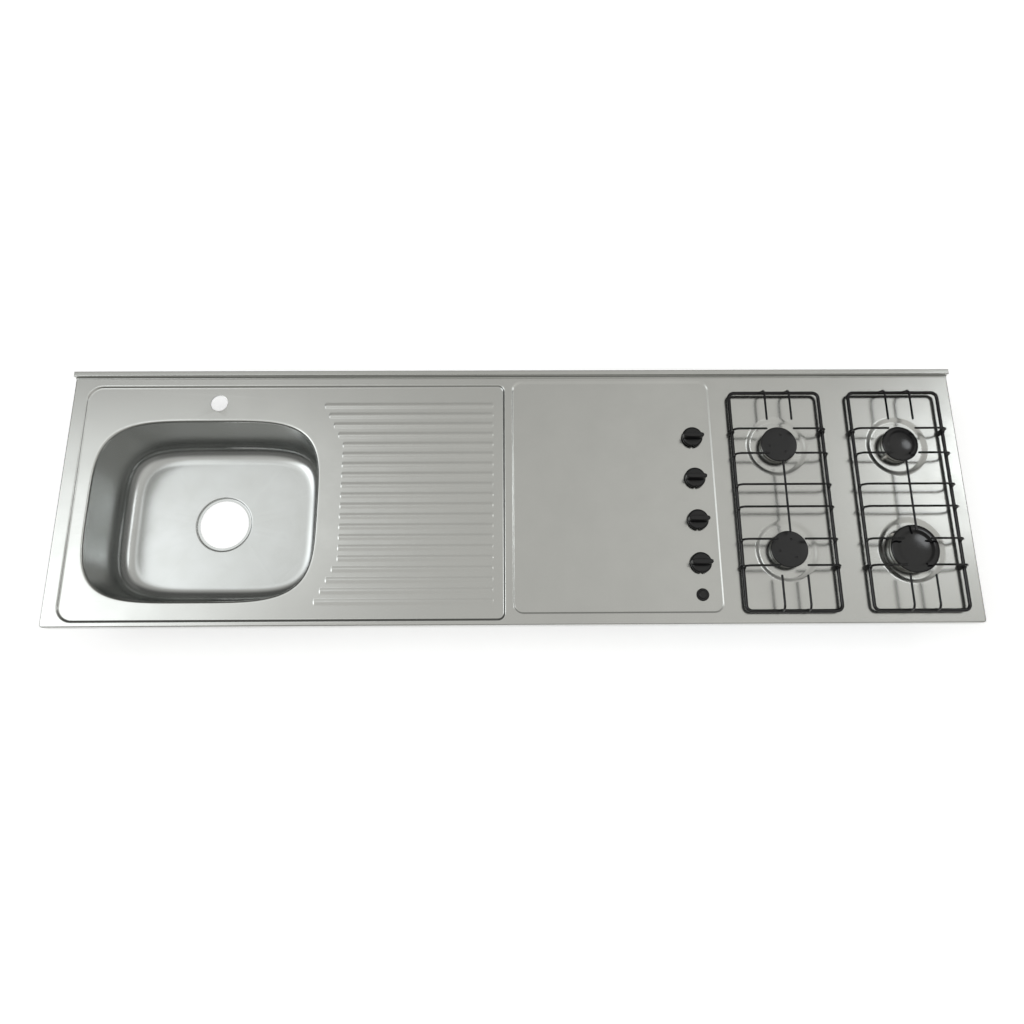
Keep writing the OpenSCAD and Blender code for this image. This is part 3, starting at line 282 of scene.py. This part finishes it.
def rib_rows(k):
    """Rows from the foot to the crest of rib k. Its rounded ends stand a little steeper than its sides."""
    shift = max(0, RIB_STEPPED - min(k, RIB_COUNT - 1 - k))
    y = RIB_Y + k * RIB_PITCH
    ends = ((RIB_X0 - RIB_STEP * shift + RIB_END_R, 90), (RIB_X1 - RIB_END_R, -90))
    rows = []
    for j in range(9):
        t = j / 8
        half, end = RIB_HALF_W * (1 - 0.97 * t), RIB_END_R * (1 - 0.9 * t)
        z = SINK_Z + RIB_H * smooth(t)
        rows.append([(x + end * math.cos(a), y + half * math.sin(a), z)
                     for x, start in ends
                     for a in (math.radians(start + 180 * i / 12) for i in range(13))])
    return rows


def dish_rows(x, y, cap_r, dish_r):
    """Rows of the shallow dish under a burner, from its rim to the edge of the burner's hole."""
    hole = cap_r - CAP_REACH
    rows = [(dish_r + 1, 0)]
    rows += [(dish_r - DISH_SLOPE * k / 10, -DISH_DROP * smooth(k / 10)) for k in range(11)]
    rows += [(dish_r - DISH_SLOPE - 2, -DISH_DROP), (hole + 1, -DISH_DROP), (hole, -DISH_DROP - 0.3)]
    return [round_loop(x, y, r, z) for r, z in rows]


def outline(inset, z):
    """The top's left side, front and right side as one open row, counter-clockwise."""
    r = CORNER - inset
    points = [(inset, BACK_Y, z), (inset, FACE_Y / 2, z)]
    for x, start in ((CORNER, 180), (LENGTH - CORNER, 270)):
        for k in range(9):
            a = math.radians(start + 90 * k / 8)
            points.append((x + r * math.cos(a), CORNER + r * math.sin(a), z))
        if start == 180:
            points += [(LENGTH * k / 8, inset, z) for k in range(1, 8)]
    return points + [(LENGTH - inset, FACE_Y / 2, z), (LENGTH - inset, BACK_Y, z)]


def fold_edges(skin):
    """Front and side edges, folded down and back under. Returns the row where they leave the top."""
    profile = bent_path([(EDGE_R + 2, 0), (0, 0), (0, -EDGE_H), (HEM, -EDGE_H)], EDGE_R - 0.01)
    made = [skin.row(outline(inset, z)) for inset, z in profile]
    for inner, outer in zip(made, made[1:]):
        skin.strip(outer, inner, closed=False)
    return made[0]


def fold_upstand(skin):
    """The low rear wall, its flange and the short drop behind it. Returns the row on the top's surface."""
    profile = bent_path([(BACK_Y, 0), (FACE_Y, 0), (FACE_Y, UPSTAND_H), (DEPTH, UPSTAND_H),
                         (DEPTH, UPSTAND_H - UPSTAND_DROP)], UPSTAND_R)
    rows = [[(LENGTH * k / 16, y, z) for k in range(17)] for y, z in profile]
    return skin.rows(rows, closed=False)[0]


def worktop_skin():
    """The one pressed sheet: edges, upstand, sink panel with its ribs, plain panel and burner dishes."""
    skin = Skin()
    edge = fold_edges(skin)
    back = fold_upstand(skin)
    sink = skin.rows(pressed_step(SINK_PANEL, SINK_RADII, 0, SINK_Z))
    plain = skin.rows(pressed_step(PLAIN_PANEL, PLAIN_RADII, 0, PLAIN_Z))
    dishes = [skin.rows(dish_rows(x, y, cap_r, dish_r))[0] for x, y, cap_r, dish_r, _ in BURNERS.values()]
    skin.fill(edge + back[::-1], [sink[0], plain[0], *dishes])

    rim = skin.rows(rim_rows())
    ribs = [skin.rows(rib_rows(k)) for k in range(RIB_COUNT)]
    for rows in ribs:
        skin.cover(rows[-1])
    mixer = skin.rows([round_loop(MIXER_X, MIXER_Y, MIXER_R + 1.2, SINK_Z),
                       round_loop(MIXER_X, MIXER_Y, MIXER_R, SINK_Z - 0.25)])
    skin.fill(sink[-1], [rim[0], mixer[0], *[rows[0] for rows in ribs]])

    holes = [skin.row(round_loop(KNOB_X, KNOB_Y + KNOB_PITCH * i, KNOB_HOLE, PLAIN_Z, 32)) for i in range(4)]
    holes.append(skin.row(round_loop(KNOB_X, IGNITER_Y, IGNITER_HOLE, PLAIN_Z, 32)))
    skin.fill(plain[-1], holes)
    return skin.mesh("worktop_skin", SHEET)


def wall_profile(floor):
    """Inset and height of the bowl's wall, from the rim's roll down through the round into its floor."""
    roll = math.radians(RIM_TURN)
    start, top = RIM_ROLL * math.sin(roll), SINK_Z - RIM_ROLL * (1 - math.cos(roll))
    lean = math.atan2(WALL_RUN, BOWL_DEPTH - WALL_FOOT)
    turn = math.pi / 2 - lean
    foot = floor + BOWL_FILLET * (1 - math.cos(turn))
    profile = []
    for k in range(9):
        z = top + (foot - top) * k / 8
        profile.append((start + (top - z) * math.tan(lean), z))
    middle = profile[-1][0] + BOWL_FILLET * math.sin(turn)
    for k in range(1, 13):
        a = turn * (1 - k / 12)
        profile.append((middle - BOWL_FILLET * math.sin(a), floor + BOWL_FILLET * (1 - math.cos(a))))
    return profile + [(middle + 4, floor - 0.05)]


def bowl_skin():
    """The deep drawn bowl: leaning walls, a wide round into the floor and the seat for the waste."""
    skin = Skin()
    floor = SINK_Z - BOWL_DEPTH
    profile = wall_profile(floor)
    last = profile[-1][0]
    squarer = FLOOR_POWER - RIM_POWER
    walls = skin.rows([bowl_loop(inset, RIM_POWER + squarer * (inset / last) ** 1.5, z)
                       for inset, z in profile])
    # The seat drops in a soft step to a flat ring round the waste hole
    seat = [(DRAIN_SEAT_R + 3, 0.05), (DRAIN_SEAT_R + 1, 0.1), (DRAIN_SEAT_R, 0.6), (DRAIN_SEAT_R - 0.5, 2.2),
            (DRAIN_SEAT_R - 1.5, DRAIN_DROP - 0.1), (DRAIN_SEAT_R - 3, DRAIN_DROP),
            (DRAIN_R + 1, DRAIN_DROP - 0.02), (DRAIN_R, DRAIN_DROP)]
    drain = skin.rows([round_loop(*BOWL_MIDDLE, r, floor - drop, 96) for r, drop in seat])
    skin.fill(walls[-1], [drain[0]])
    return skin.mesh("bowl_skin", SHEET)


# ---- Turned, swept and lofted pieces ----


def turned(name, profile, x, y, sharp):
    """Solid of revolution about an upright line. The profile runs from the top's middle outwards and down."""
    skin = Skin()
    made = skin.rows([round_loop(x, y, max(r, 0.02), z, 72) for r, z in profile[::-1]])
    skin.cover(made[-1])
    skin.cover(made[0][::-1])
    return skin.mesh(name, sharp=sharp)


def stations_along(path, radius, closed):
    """Points every 9 mm or so along a wire, each with its share of the radius, which falls at open ends."""
    dense = []
    pairs = list(zip(path, path[1:] + path[:1])) if closed else list(zip(path, path[1:]))
    for a, b in pairs:
        steps = max(1, round((b - a).length / 9))
        dense += [a.lerp(b, k / steps) for k in range(steps)]
    if closed:
        return [(p, 1.0) for p in dense]
    dense.append(path[-1])
    tip = 0.8 * radius
    first, last = (dense[0] - dense[1]).normalized(), (dense[-1] - dense[-2]).normalized()
    ends = [(dense[0] + first * tip, 0.35), (dense[0] + first * tip * 0.6, 0.8)]
    tails = [(dense[-1] + last * tip * 0.6, 0.8), (dense[-1] + last * tip, 0.35)]
    return ends + [(p, 1.0) for p in dense] + tails


def wire(work, path, radius, closed=False, seed=0.0):
    """Adds a round wire along a path. The fired enamel makes it swell and thin a little along its length."""
    sides = 14
    stations = stations_along(path, radius, closed)
    count, rings = len(stations), []
    side = None
    for i, (p, share) in enumerate(stations):
        ahead = stations[(i + 1) % count][0] if closed or i < count - 1 else p
        behind = stations[i - 1][0] if closed or i > 0 else p
        along = (ahead - behind).normalized()
        if side is None:
            side = along.orthogonal().normalized()
        side = (side - along * side.dot(along)).normalized()
        up = along.cross(side)
        swell = WIRE_SWELL * noise.noise((p + Vector((seed, 0, 0))) / SWELL_L)
        r = radius * share * (WIRE_THIN + swell)
        rings.append([work.verts.new(at(*(p + side * r * math.cos(a) + up * r * math.sin(a))))
                      for a in (math.tau * k / sides for k in range(sides))])
    for i in range(count if closed else count - 1):
        a, b = rings[i], rings[(i + 1) % count]
        for k in range(sides):
            work.faces.new((a[k], a[(k + 1) % sides], b[(k + 1) % sides], b[k]))
    if not closed:
        work.faces.new(rings[0][::-1])
        work.faces.new(rings[-1])


def weld(work, x, y, z, radius, seed):
    """Adds the small run of weld and enamel where a bar meets the frame."""
    made = bmesh.ops.create_icosphere(work, subdivisions=2, radius=1.0)["verts"]
    for vert in made:
        n = vert.co.normalized()
        r = radius * (1 + 0.16 * noise.noise(n * 2.3 + Vector((seed, seed, 0))))
        vert.co = at(x + n.x * r * 1.15, y + n.y * r * 1.1, z + n.z * r)


def pan_support(side, middle):
    """Frame of thick wire with two full bars, eight broken bars, four end bars and one along the middle."""
    work = bmesh.new()
    hx, hy = GRATE_HALF
    foot = FRAME_Z + 1

    def place(points):
        """Points measured from the support's middle, as points of the sheet."""
        return [Vector((middle + x, GRATE_Y + y, z)) for x, y, z in points]

    def bar(points, seed):
        """Thin bent bar of the support."""
        wire(work, bent_path(place(points), WIRE_BEND), BAR_WIRE, seed=seed)

    frame_path = [(0, -hy), (hx, -hy), (hx, hy), (-hx, hy), (-hx, -hy), (0, -hy)]
    loop = bent_path(place([(x, y, FRAME_Z) for x, y in frame_path]), WIRE_BEND)[:-1]
    wire(work, loop, FRAME_WIRE, closed=True, seed=middle)
    joints = []
    for y in (-FULL_BAR_Y, FULL_BAR_Y):
        bar([(-hx, y, foot), (-hx, y, BAR_Z), (hx, y, BAR_Z), (hx, y, foot)], y)
        joints += [(-hx, y), (hx, y)]
    for s in (-1, 1):
        for y in BROKEN_BARS_Y:
            bar([(s * hx, y, foot), (s * hx, y, BAR_Z), (s * BROKEN_BAR_TIP, y, BAR_Z)], s + y)
            joints.append((s * hx, y))
        for x in (-END_BAR_X, END_BAR_X):
            bar([(x, s * hy, foot), (x, s * hy, BAR_Z), (x, s * (hy - END_BAR_L), BAR_Z)], s + x)
            joints.append((x, s * hy))
    wire(work, place([(0, y, BAR_Z - 1.5) for y in (-MIDDLE_BAR_HALF, MIDDLE_BAR_HALF)]), BAR_WIRE, seed=5)
    for k, (x, y) in enumerate(joints):
        weld(work, middle + x, GRATE_Y + y, FRAME_Z + 2, 4.1, k)
    for y in (-FULL_BAR_Y, FULL_BAR_Y):
        weld(work, middle, GRATE_Y + y, BAR_Z - 1, 3.1, y)
    bmesh.ops.recalc_face_normals(work, faces=work.faces)
    data = bpy.data.meshes.new(f"pan_support_{side}")
    work.to_mesh(data)
    work.free()
    obj = bpy.data.objects.new(f"pan_support_{side}", data)
    bpy.context.scene.collection.objects.link(obj)
    return smoothed(obj, 60)


def cap_nubs(name, x, y, r, z):
    """Three small round nubs on the face of a flat cap."""
    nub_r, nub_h = 2.6, 1.6
    nubs = Skin()
    for a in (math.radians(77), math.radians(190), math.radians(305)):
        cx, cy = x + 0.54 * r * math.cos(a), y + 0.54 * r * math.sin(a)
        rows = [round_loop(cx, cy, nub_r * math.cos(w), z + nub_h * math.sin(w), 20)
                for w in (math.radians(20 * k) for k in range(5))]
        nubs.cover(nubs.rows(rows)[-1])
    return nubs.mesh(name)


def burner_lid(name, x, y, r, domed):
    """Enamelled cap: a stepped dome on the right burners, a flat disc with three nubs on the left ones."""
    top = RING_TOP + CAP_H
    under = [(r - 0.2, RING_TOP + 0.9), (r - 0.8, RING_TOP), (r - 10.4, RING_TOP), (r - 10.4, RING_TOP - 2),
             (r - 12.4, RING_TOP - 2), (r - 12.4, RING_TOP + 1.5)]
    if domed:
        step = 0.70 * r
        face = [(0, top + 4), (step * 0.35, top + 3.9), (step * 0.65, top + 3.6), (step * 0.85, top + 3.0)]
        face += [(step * 0.85 + (step * 0.3) * k / 6, top + 3.0 - 2.0 * smooth(k / 6)) for k in range(1, 7)]
        face += [(r - 4, top + 0.6), (r - 1.6, top - 0.1), (r - 0.5, top - 1.1), (r, top - 2.2)]
        return turned(name, face + under, x, y, sharp=55)
    face = [(0, top - 0.2), (r * 0.6, top - 0.1), (r - 2.2, top - 0.3), (r - 0.8, top - 0.9), (r, top - 2.1)]
    lid = turned(name, face + under, x, y, sharp=55)
    nubs = cap_nubs(name + "_nubs", x, y, r, top - 0.5)
    nubs.parent = lid
    return lid


def notched_loop(x, y, r, z, depth):
    """Circle with a small V notch towards the front edge of the top."""
    count, notch_half = 96, 7.5
    points = []
    for k in range(count):
        a = math.tau * k / count
        off = abs((math.degrees(a) - 270 + 180) % 360 - 180)
        dip = depth * max(0.0, 1 - off / notch_half)
        points.append((x + (r - dip) * math.cos(a), y + (r - dip) * math.sin(a), z))
    return points


def control_knob(index):
    """Moulded knob: a notched skirt and a full width grip bar that leans in towards its top."""
    x, y = KNOB_X, KNOB_Y + KNOB_PITCH * index
    low, high = 4.5, 10.5
    skin = Skin()
    # Radius, height and depth of the notch
    skirt = [(21, low, 2.4), (22.6, low, 3.6), (23, low + 0.5, 4), (23, low + 1.6, 4),
             (22.4, high - 2.2, 3.6), (21.2, high - 0.8, 2.4), (19.6, high - 0.1, 1.0), (17, high + 0.2, 0)]
    made = skin.rows([notched_loop(x, y, r, z, depth) for r, z, depth in skirt])
    skin.cover(made[-1])
    skin.cover(made[0][::-1])
    # Half the length, half the width and height
    grip = [(22.2, 8.6, high - 2), (22.4, 7.6, high + 0.6), (22.6, 6.6, high + 4), (22.7, 6.0, 22),
            (22.5, 5.5, 24.5), (21.9, 4.9, 25.6), (20.8, 3.9, 26)]
    made = skin.rows([bowed_loop((x, y), (a, b), 3.2, z, 64) for a, b, z in grip])
    skin.cover(made[-1])
    return skin.mesh(f"knob_body_{index + 1}", sharp=55)


# ---- Finishes ----


def linear(code):
    """sRGB hex colour as linear red, green, blue and alpha."""
    values = [int(code[i:i + 2], 16) / 255 for i in (1, 3, 5)]
    return [v / 12.92 if v <= 0.04045 else ((v + 0.055) / 1.055) ** 2.4 for v in values] + [1.0]


def add_node(owner, kind, values=None, links=None, **settings):
    """Adds a node to a material or world, with its settings, its input values and its input links."""
    node = owner.node_tree.nodes.new(kind)
    for key, value in settings.items():
        setattr(node, key, value)
    for key, value in (values or {}).items():
        node.inputs[key].default_value = value
    for key, socket in (links or {}).items():
        owner.node_tree.links.new(socket, node.inputs[key])
    return node


def ranged(owner, value, low, high, start=0.3, end=0.7, course="LINEAR"):
    """Carries a value that runs from start to end over to the range from low to high."""
    limits = {"From Min": start, "From Max": end, "To Min": low, "To Max": high}
    node = add_node(owner, "ShaderNodeMapRange", limits, {"Value": value}, interpolation_type=course)
    return node.outputs["Result"]


def blended(owner, value, first, second):
    """Mix of two hex colours, where the value 0 gives the first."""
    return add_node(owner, "ShaderNodeMix", {"A": linear(first), "B": linear(second)},
                    {"Factor": value}, data_type="RGBA").outputs["Result"]


def blank(name, **values):
    """New material with one Principled shader. Returns both and the object's own coordinates, in metres."""
    material = bpy.data.materials.new(name)
    material.use_nodes = True
    shader = material.node_tree.nodes["Principled BSDF"]
    for key, value in values.items():
        shader.inputs[key.replace("_", " ")].default_value = value
    place = add_node(material, "ShaderNodeTexCoord").outputs["Object"]
    return material, shader, place


def link(material, socket, shader, name):
    """Feeds a shader's input."""
    material.node_tree.links.new(socket, shader.inputs[name])


def grain(material, place, size_mm, stretch=(1, 1, 1), detail=2):
    """Noise whose spots are about size_mm across, drawn out along the axes with a stretch above 1."""
    scaled = add_node(material, "ShaderNodeMapping", {"Scale": [1 / s for s in stretch]}, {"Vector": place})
    return add_node(material, "ShaderNodeTexNoise", {"Scale": 1000 / size_mm, "Detail": detail},
                    {"Vector": scaled.outputs["Vector"]}).outputs["Fac"]


def stained(material, shader, spots, first, second):
    """Base colour that wanders between two hex colours with the spots of a grain."""
    link(material, blended(material, ranged(material, spots, 0, 1), first, second), shader, "Base Color")


def bumped(material, shader, heights):
    """Feeds the shader a normal from (height, depth in millimetres) pairs, coarse first."""
    normal = None
    for height, depth_mm in heights:
        links = {"Height": height}
        if normal is not None:
            links["Normal"] = normal
        bump = add_node(material, "ShaderNodeBump", {"Strength": 1.0, "Distance": depth_mm / 1000}, links)
        normal = bump.outputs["Normal"]
    link(material, normal, shader, "Normal")


def satin_stainless():
    """Cold rolled 304 stainless with a satin rub along its length: grey, with soft, readable reflections."""
    material, shader, place = blank("satin_stainless_304", Metallic=1.0)
    # The rub is about 0.05 mm wide on the real sheet; it is drawn at 0.5 mm so that it shows
    rub = grain(material, place, 0.5, (60, 1, 1), 3)
    # Hand marks and cleaning swirls, some 80 mm across, change the gloss
    handled = grain(material, place, 80, detail=3)
    parts = {0: ranged(material, rub, -0.025, 0.025), 1: ranged(material, handled, 0.20, 0.235)}
    gloss = add_node(material, "ShaderNodeMath", links=parts, operation="ADD")
    link(material, gloss.outputs[0], shader, "Roughness")
    stained(material, shader, handled, "#c3c4c1", "#c0c1be")
    # Sheet this thin is never quite flat: waves of about 200 mm
    bumped(material, shader, [(grain(material, place, 220, detail=1), 0.3)])
    return material


def drawn_stainless():
    """Deep drawn stainless of the bowl: the same steel, its rub blurred by the press."""
    material, shader, place = blank("drawn_stainless_304", Metallic=1.0)
    handled = grain(material, place, 60, detail=3)
    link(material, ranged(material, handled, 0.20, 0.225), shader, "Roughness")
    stained(material, shader, handled, "#c3c5c4", "#c0c2c0")
    return material


def fired_enamel(name, code, roughness, peel_depth):
    """Vitreous enamel fired on steel: near black glass with a faint orange peel."""
    material, shader, place = blank(name, Roughness=roughness, IOR=1.52)
    stained(material, shader, grain(material, place, 25, detail=3), code, "#141416")
    bumped(material, shader, [(grain(material, place, 4), peel_depth),
                              (grain(material, place, 0.6, detail=1), peel_depth / 8)])
    return material


def moulded_plastic(name, code, roughness):
    """Moulded phenolic or nylon: dark, with the fine sparkle of an eroded mould."""
    material, shader, place = blank(name, IOR=1.5)
    sparkle = grain(material, place, 0.35)
    link(material, ranged(material, sparkle, roughness - 0.05, roughness + 0.06), shader, "Roughness")
    stained(material, shader, grain(material, place, 18), code, "#0b0b0d")
    bumped(material, shader, [(sparkle, 0.01)])
    return material


def die_cast_aluminium():
    """Die cast aluminium of the burners, wire brushed: dull grey with fine pits."""
    material, shader, place = blank("die_cast_aluminium", Metallic=1.0)
    pits = grain(material, place, 0.7, detail=4)
    stained(material, shader, grain(material, place, 14, detail=3), "#c2c2be", "#a9a9a5")
    link(material, ranged(material, pits, 0.28, 0.46), shader, "Roughness")
    bumped(material, shader, [(pits, 0.05)])
    return material


def zinc_spangle():
    """Hot dip galvanised sheet: frosted zinc crystals about 9 mm across, each its own grey."""
    material, shader, place = blank("hot_dip_galvanised", Metallic=1.0)
    crystal = add_node(material, "ShaderNodeTexVoronoi", {"Scale": 1000 / 9}, {"Vector": place})
    tone = add_node(material, "ShaderNodeRGBToBW", links={"Color": crystal.outputs["Color"]}).outputs["Val"]
    link(material, blended(material, tone, "#a4a9ad", "#c0c4c6"), shader, "Base Color")
    link(material, ranged(material, tone, 0.38, 0.55, 0, 1), shader, "Roughness")
    bumped(material, shader, [(grain(material, place, 1.5), 0.01)])
    return material


def plated(name, light, dark, roughness):
    """Machined or drawn metal, bare or plated: fine tool marks about 0.4 mm apart under a soft shine."""
    material, shader, place = blank(name, Metallic=1.0)
    marks = grain(material, place, 0.4, (1, 1, 6))
    stained(material, shader, grain(material, place, 9, detail=3), light, dark)
    link(material, ranged(material, marks, roughness - 0.06, roughness + 0.08), shader, "Roughness")
    bumped(material, shader, [(marks, 0.008)])
    return material


def glazed_ceramic():
    """Glazed alumina of the spark electrodes: off white and glossy."""
    material, shader, place = blank("glazed_alumina", Roughness=0.18, IOR=1.6)
    stained(material, shader, grain(material, place, 6), "#f2efe8", "#e4e0d6")
    return material


def rubber(name, light, dark, roughness):
    """Moulded rubber or silicone: dull, with a slightly bloomed surface."""
    material, shader, place = blank(name, Roughness=roughness, IOR=1.5)
    stained(material, shader, grain(material, place, 5), light, dark)
    bumped(material, shader, [(grain(material, place, 0.8), 0.02)])
    return material


FINISH = {
    "stainless": satin_stainless(),
    "galvanised": zinc_spangle(),
    "zinc_steel": plated("bright_zinc_plate", "#b4b7ba", "#9ba0a4", 0.28),
    "gas_pipe": plated("galvanised_gas_pipe", "#a9acab", "#8f9391", 0.42),
    "brass": plated("machined_brass", "#c9a960", "#b08c45", 0.26),
    "cast_aluminium": die_cast_aluminium(),
    "feed_alu": plated("drawn_aluminium_tube", "#c4c5c6", "#b0b1b2", 0.32),
    "cap_gloss": fired_enamel("gloss_black_enamel", "#0a0a0c", 0.10, 0.02),
    "cap_matt": fired_enamel("matt_black_enamel", "#0e0f10", 0.30, 0.03),
    "enamel_black": fired_enamel("wire_black_enamel", "#08080a", 0.16, 0.05),
    "ceramic": glazed_ceramic(),
    "grey_plastic": moulded_plastic("grey_nylon", "#3b3b3f", 0.5),
    "black_plastic": moulded_plastic("black_phenolic", "#0d0e10", 0.34),
    "seal_rubber": rubber("black_rubber", "#1c1c1c", "#121212", 0.72),
    "lead_silicone": rubber("red_silicone", "#9a2f26", "#7f2620", 0.55),
}
BOWL_STEEL = drawn_stainless()


def finish(obj, slot, body, material=None):
    """Gives a new piece its finish and lets it ride on its body."""
    for each in (obj, *obj.children):
        each.data.materials.clear()
        each.data.materials.append(material or FINISH[slot])
    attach(obj, body)


def dress_cad_nodes():
    """Every CAD node keeps its shape and takes the finish of its record slot."""
    for part in frame["record"]["subparts"]:
        data = NODES[part["node"]].data
        data.materials.clear()
        data.materials.append(FINISH[part["material_slot"]])


# ---- Assembly ----


def build():
    """Dresses the CAD nodes and puts the finer sheet, bowl, supports, caps and knobs in their places."""
    dress_cad_nodes()
    top = worktop_skin()
    finish(top, "stainless", "top")
    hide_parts("worktop_sheet")
    bowl = bowl_skin()
    finish(bowl, "stainless", "top", BOWL_STEEL)
    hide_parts("sink_bowl")
    for side, middle in (("left", LEFT_X), ("right", RIGHT_X)):
        grate = pan_support(side, middle)
        finish(grate, "enamel_black", f"pan_support_{side}")
        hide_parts(f"grate_{side}")
    for name, (x, y, cap_r, _, domed) in BURNERS.items():
        lid = burner_lid(f"burner_lid_{name}", x, y, cap_r, domed)
        finish(lid, "cap_gloss" if domed else "cap_matt", f"cap_{name}")
        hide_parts(f"burner_cap_{name}")
    for index in range(4):
        knob = control_knob(index)
        finish(knob, "black_plastic", f"dial_{index + 1}")
        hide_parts(f"knob_{index + 1}")


# ---- Floor, light and camera ----

# The photograph's size, focal length and optical middle, in pixels
PHOTO_SIZE, PHOTO_FOCAL, PHOTO_MIDDLE_Y = 1024, 838.613, 470
# The camera's place in metres and its turns about x, y and z in degrees
CAMERA_AT = (-0.020537, -0.199799, 1.815742)
CAMERA_TURN = (16.62454, -0.41471, -0.35668)
SENSOR = 36
# Half the floor's width and its gap below the lowest part, in metres
FLOOR_HALF, FLOOR_GAP = 9, 0.0005
PAPER_GLOW = 0.55
# Lights of the room: middle and radii, both as slopes of the direction, and strength
WINDOW = ((-0.90, 0.00), (0.66, 0.49), 2.2)
WINDOW_SIDE = ((-0.36, 0.25), (0.28, 0.17), 0.6)
LAMP = ((0.63, 0.31), (0.15, 0.12), 3.4)


def white_paper():
    """Matt white paper, lit a little from behind, which only the eye and mirrors see."""
    material, shader, _ = blank("white_floor", Roughness=0.9, Specular_IOR_Level=0.1)
    shader.inputs["Base Color"].default_value = linear("#f2f2f2")
    path = add_node(material, "ShaderNodeLightPath").outputs
    seen = path["Is Camera Ray"]
    for ray in ("Is Glossy Ray", "Is Transmission Ray"):
        either = add_node(material, "ShaderNodeMath", links={0: seen, 1: path[ray]}, operation="MAXIMUM")
        seen = either.outputs[0]
    glow = add_node(material, "ShaderNodeMath", {1: PAPER_GLOW}, {0: seen}, operation="MULTIPLY").outputs[0]
    shader.inputs["Emission Color"].default_value = (1, 1, 1, 1)
    link(material, glow, shader, "Emission Strength")
    return material


def floor():
    """Wide floor just under the lowest part."""
    far, low = FLOOR_HALF, CAD_BOX[0][2] - FLOOR_GAP
    data = bpy.data.meshes.new("floor")
    corners = [(-far, -far, low), (far, -far, low), (far, far, low), (-far, far, low)]
    data.from_pydata(corners, [], [(0, 1, 2, 3)])
    obj = bpy.data.objects.new("floor", data)
    bpy.context.scene.collection.objects.link(obj)
    data.materials.append(white_paper())


def light():
    """Grey room as satin steel shows it: pale ceiling, darker walls, wide window left and lamp right.

    The room is drawn over the slopes of the direction it is seen in, x / z and y / z, so a flat top seen from
    above shows each point of it at one place.
    """
    world = bpy.data.worlds.new("room")
    bpy.context.scene.world = world
    world.use_nodes = True
    back = world.node_tree.nodes["Background"]
    seen = add_node(world, "ShaderNodeTexCoord").outputs["Generated"]
    along = add_node(world, "ShaderNodeSeparateXYZ", links={"Vector": seen}).outputs

    def maths(kind, first, second):
        """Result of one step of arithmetic on numbers or sockets."""
        node = add_node(world, "ShaderNodeMath", operation=kind)
        for socket, value in zip(node.inputs, (first, second)):
            if isinstance(value, (int, float)):
                socket.default_value = value
            else:
                world.node_tree.links.new(value, socket)
        return node.outputs[0]

    def eased(value, start, end, low, high):
        """Soft change from low to high while the value goes from start to end."""
        return ranged(world, value, low, high, start, end, "SMOOTHSTEP")

    rise = maths("MAXIMUM", along["Z"], 0.04)
    slope = (maths("DIVIDE", along["X"], rise), maths("DIVIDE", along["Y"], rise))
    spot = add_node(world, "ShaderNodeCombineXYZ", links={"X": slope[0], "Y": slope[1]}).outputs[0]

    def lobe(middle, radius, level):
        """Soft oval of light."""
        placed = add_node(world, "ShaderNodeMapping",
                          {"Location": (-middle[0] / radius[0], -middle[1] / radius[1], 0),
                           "Scale": (1 / radius[0], 1 / radius[1], 1)}, {"Vector": spot}).outputs[0]
        near = add_node(world, "ShaderNodeTexGradient", links={"Vector": placed}, gradient_type="SPHERICAL")
        return eased(near.outputs["Fac"], 0.0, 0.55, 0, level)

    # Dark walls up to a pale ceiling, which is a little paler on the right and darker at the back
    room = eased(along["Z"], 0.62, 0.88, 0.20, 0.71)
    room = maths("ADD", room, eased(slope[0], 0.05, 0.2, 0, 0.08))
    room = maths("ADD", room, eased(slope[1], 0.30, 0.45, 0, -0.08))
    window = maths("ADD", lobe(*WINDOW), lobe(*WINDOW_SIDE))
    lamp = lobe(*LAMP)
    bright = maths("ADD", maths("ADD", room, window), lamp)
    # The window and the lamp are a little cooler than the room
    share = maths("DIVIDE", maths("ADD", window, lamp), bright)
    world.node_tree.links.new(blended(world, share, "#fffefa", "#f8fcff"), back.inputs["Color"])
    world.node_tree.links.new(bright, back.inputs["Strength"])


def camera():
    """The photograph's view: nearly overhead from just in front of the middle, looking slightly back."""
    data = bpy.data.cameras.new("camera")
    data.sensor_width, data.lens = SENSOR, PHOTO_FOCAL / PHOTO_SIZE * SENSOR
    data.shift_y = (PHOTO_MIDDLE_Y - PHOTO_SIZE / 2) / PHOTO_SIZE
    obj = bpy.data.objects.new("camera", data)
    turn = Euler([math.radians(angle) for angle in CAMERA_TURN]).to_matrix().to_4x4()
    obj.matrix_world = Matrix.Translation(CAMERA_AT) @ turn
    bpy.context.scene.collection.objects.link(obj)
    bpy.context.scene.camera = obj


build()
floor()
light()
camera()
bpy.context.scene.view_settings.view_transform = "Standard"
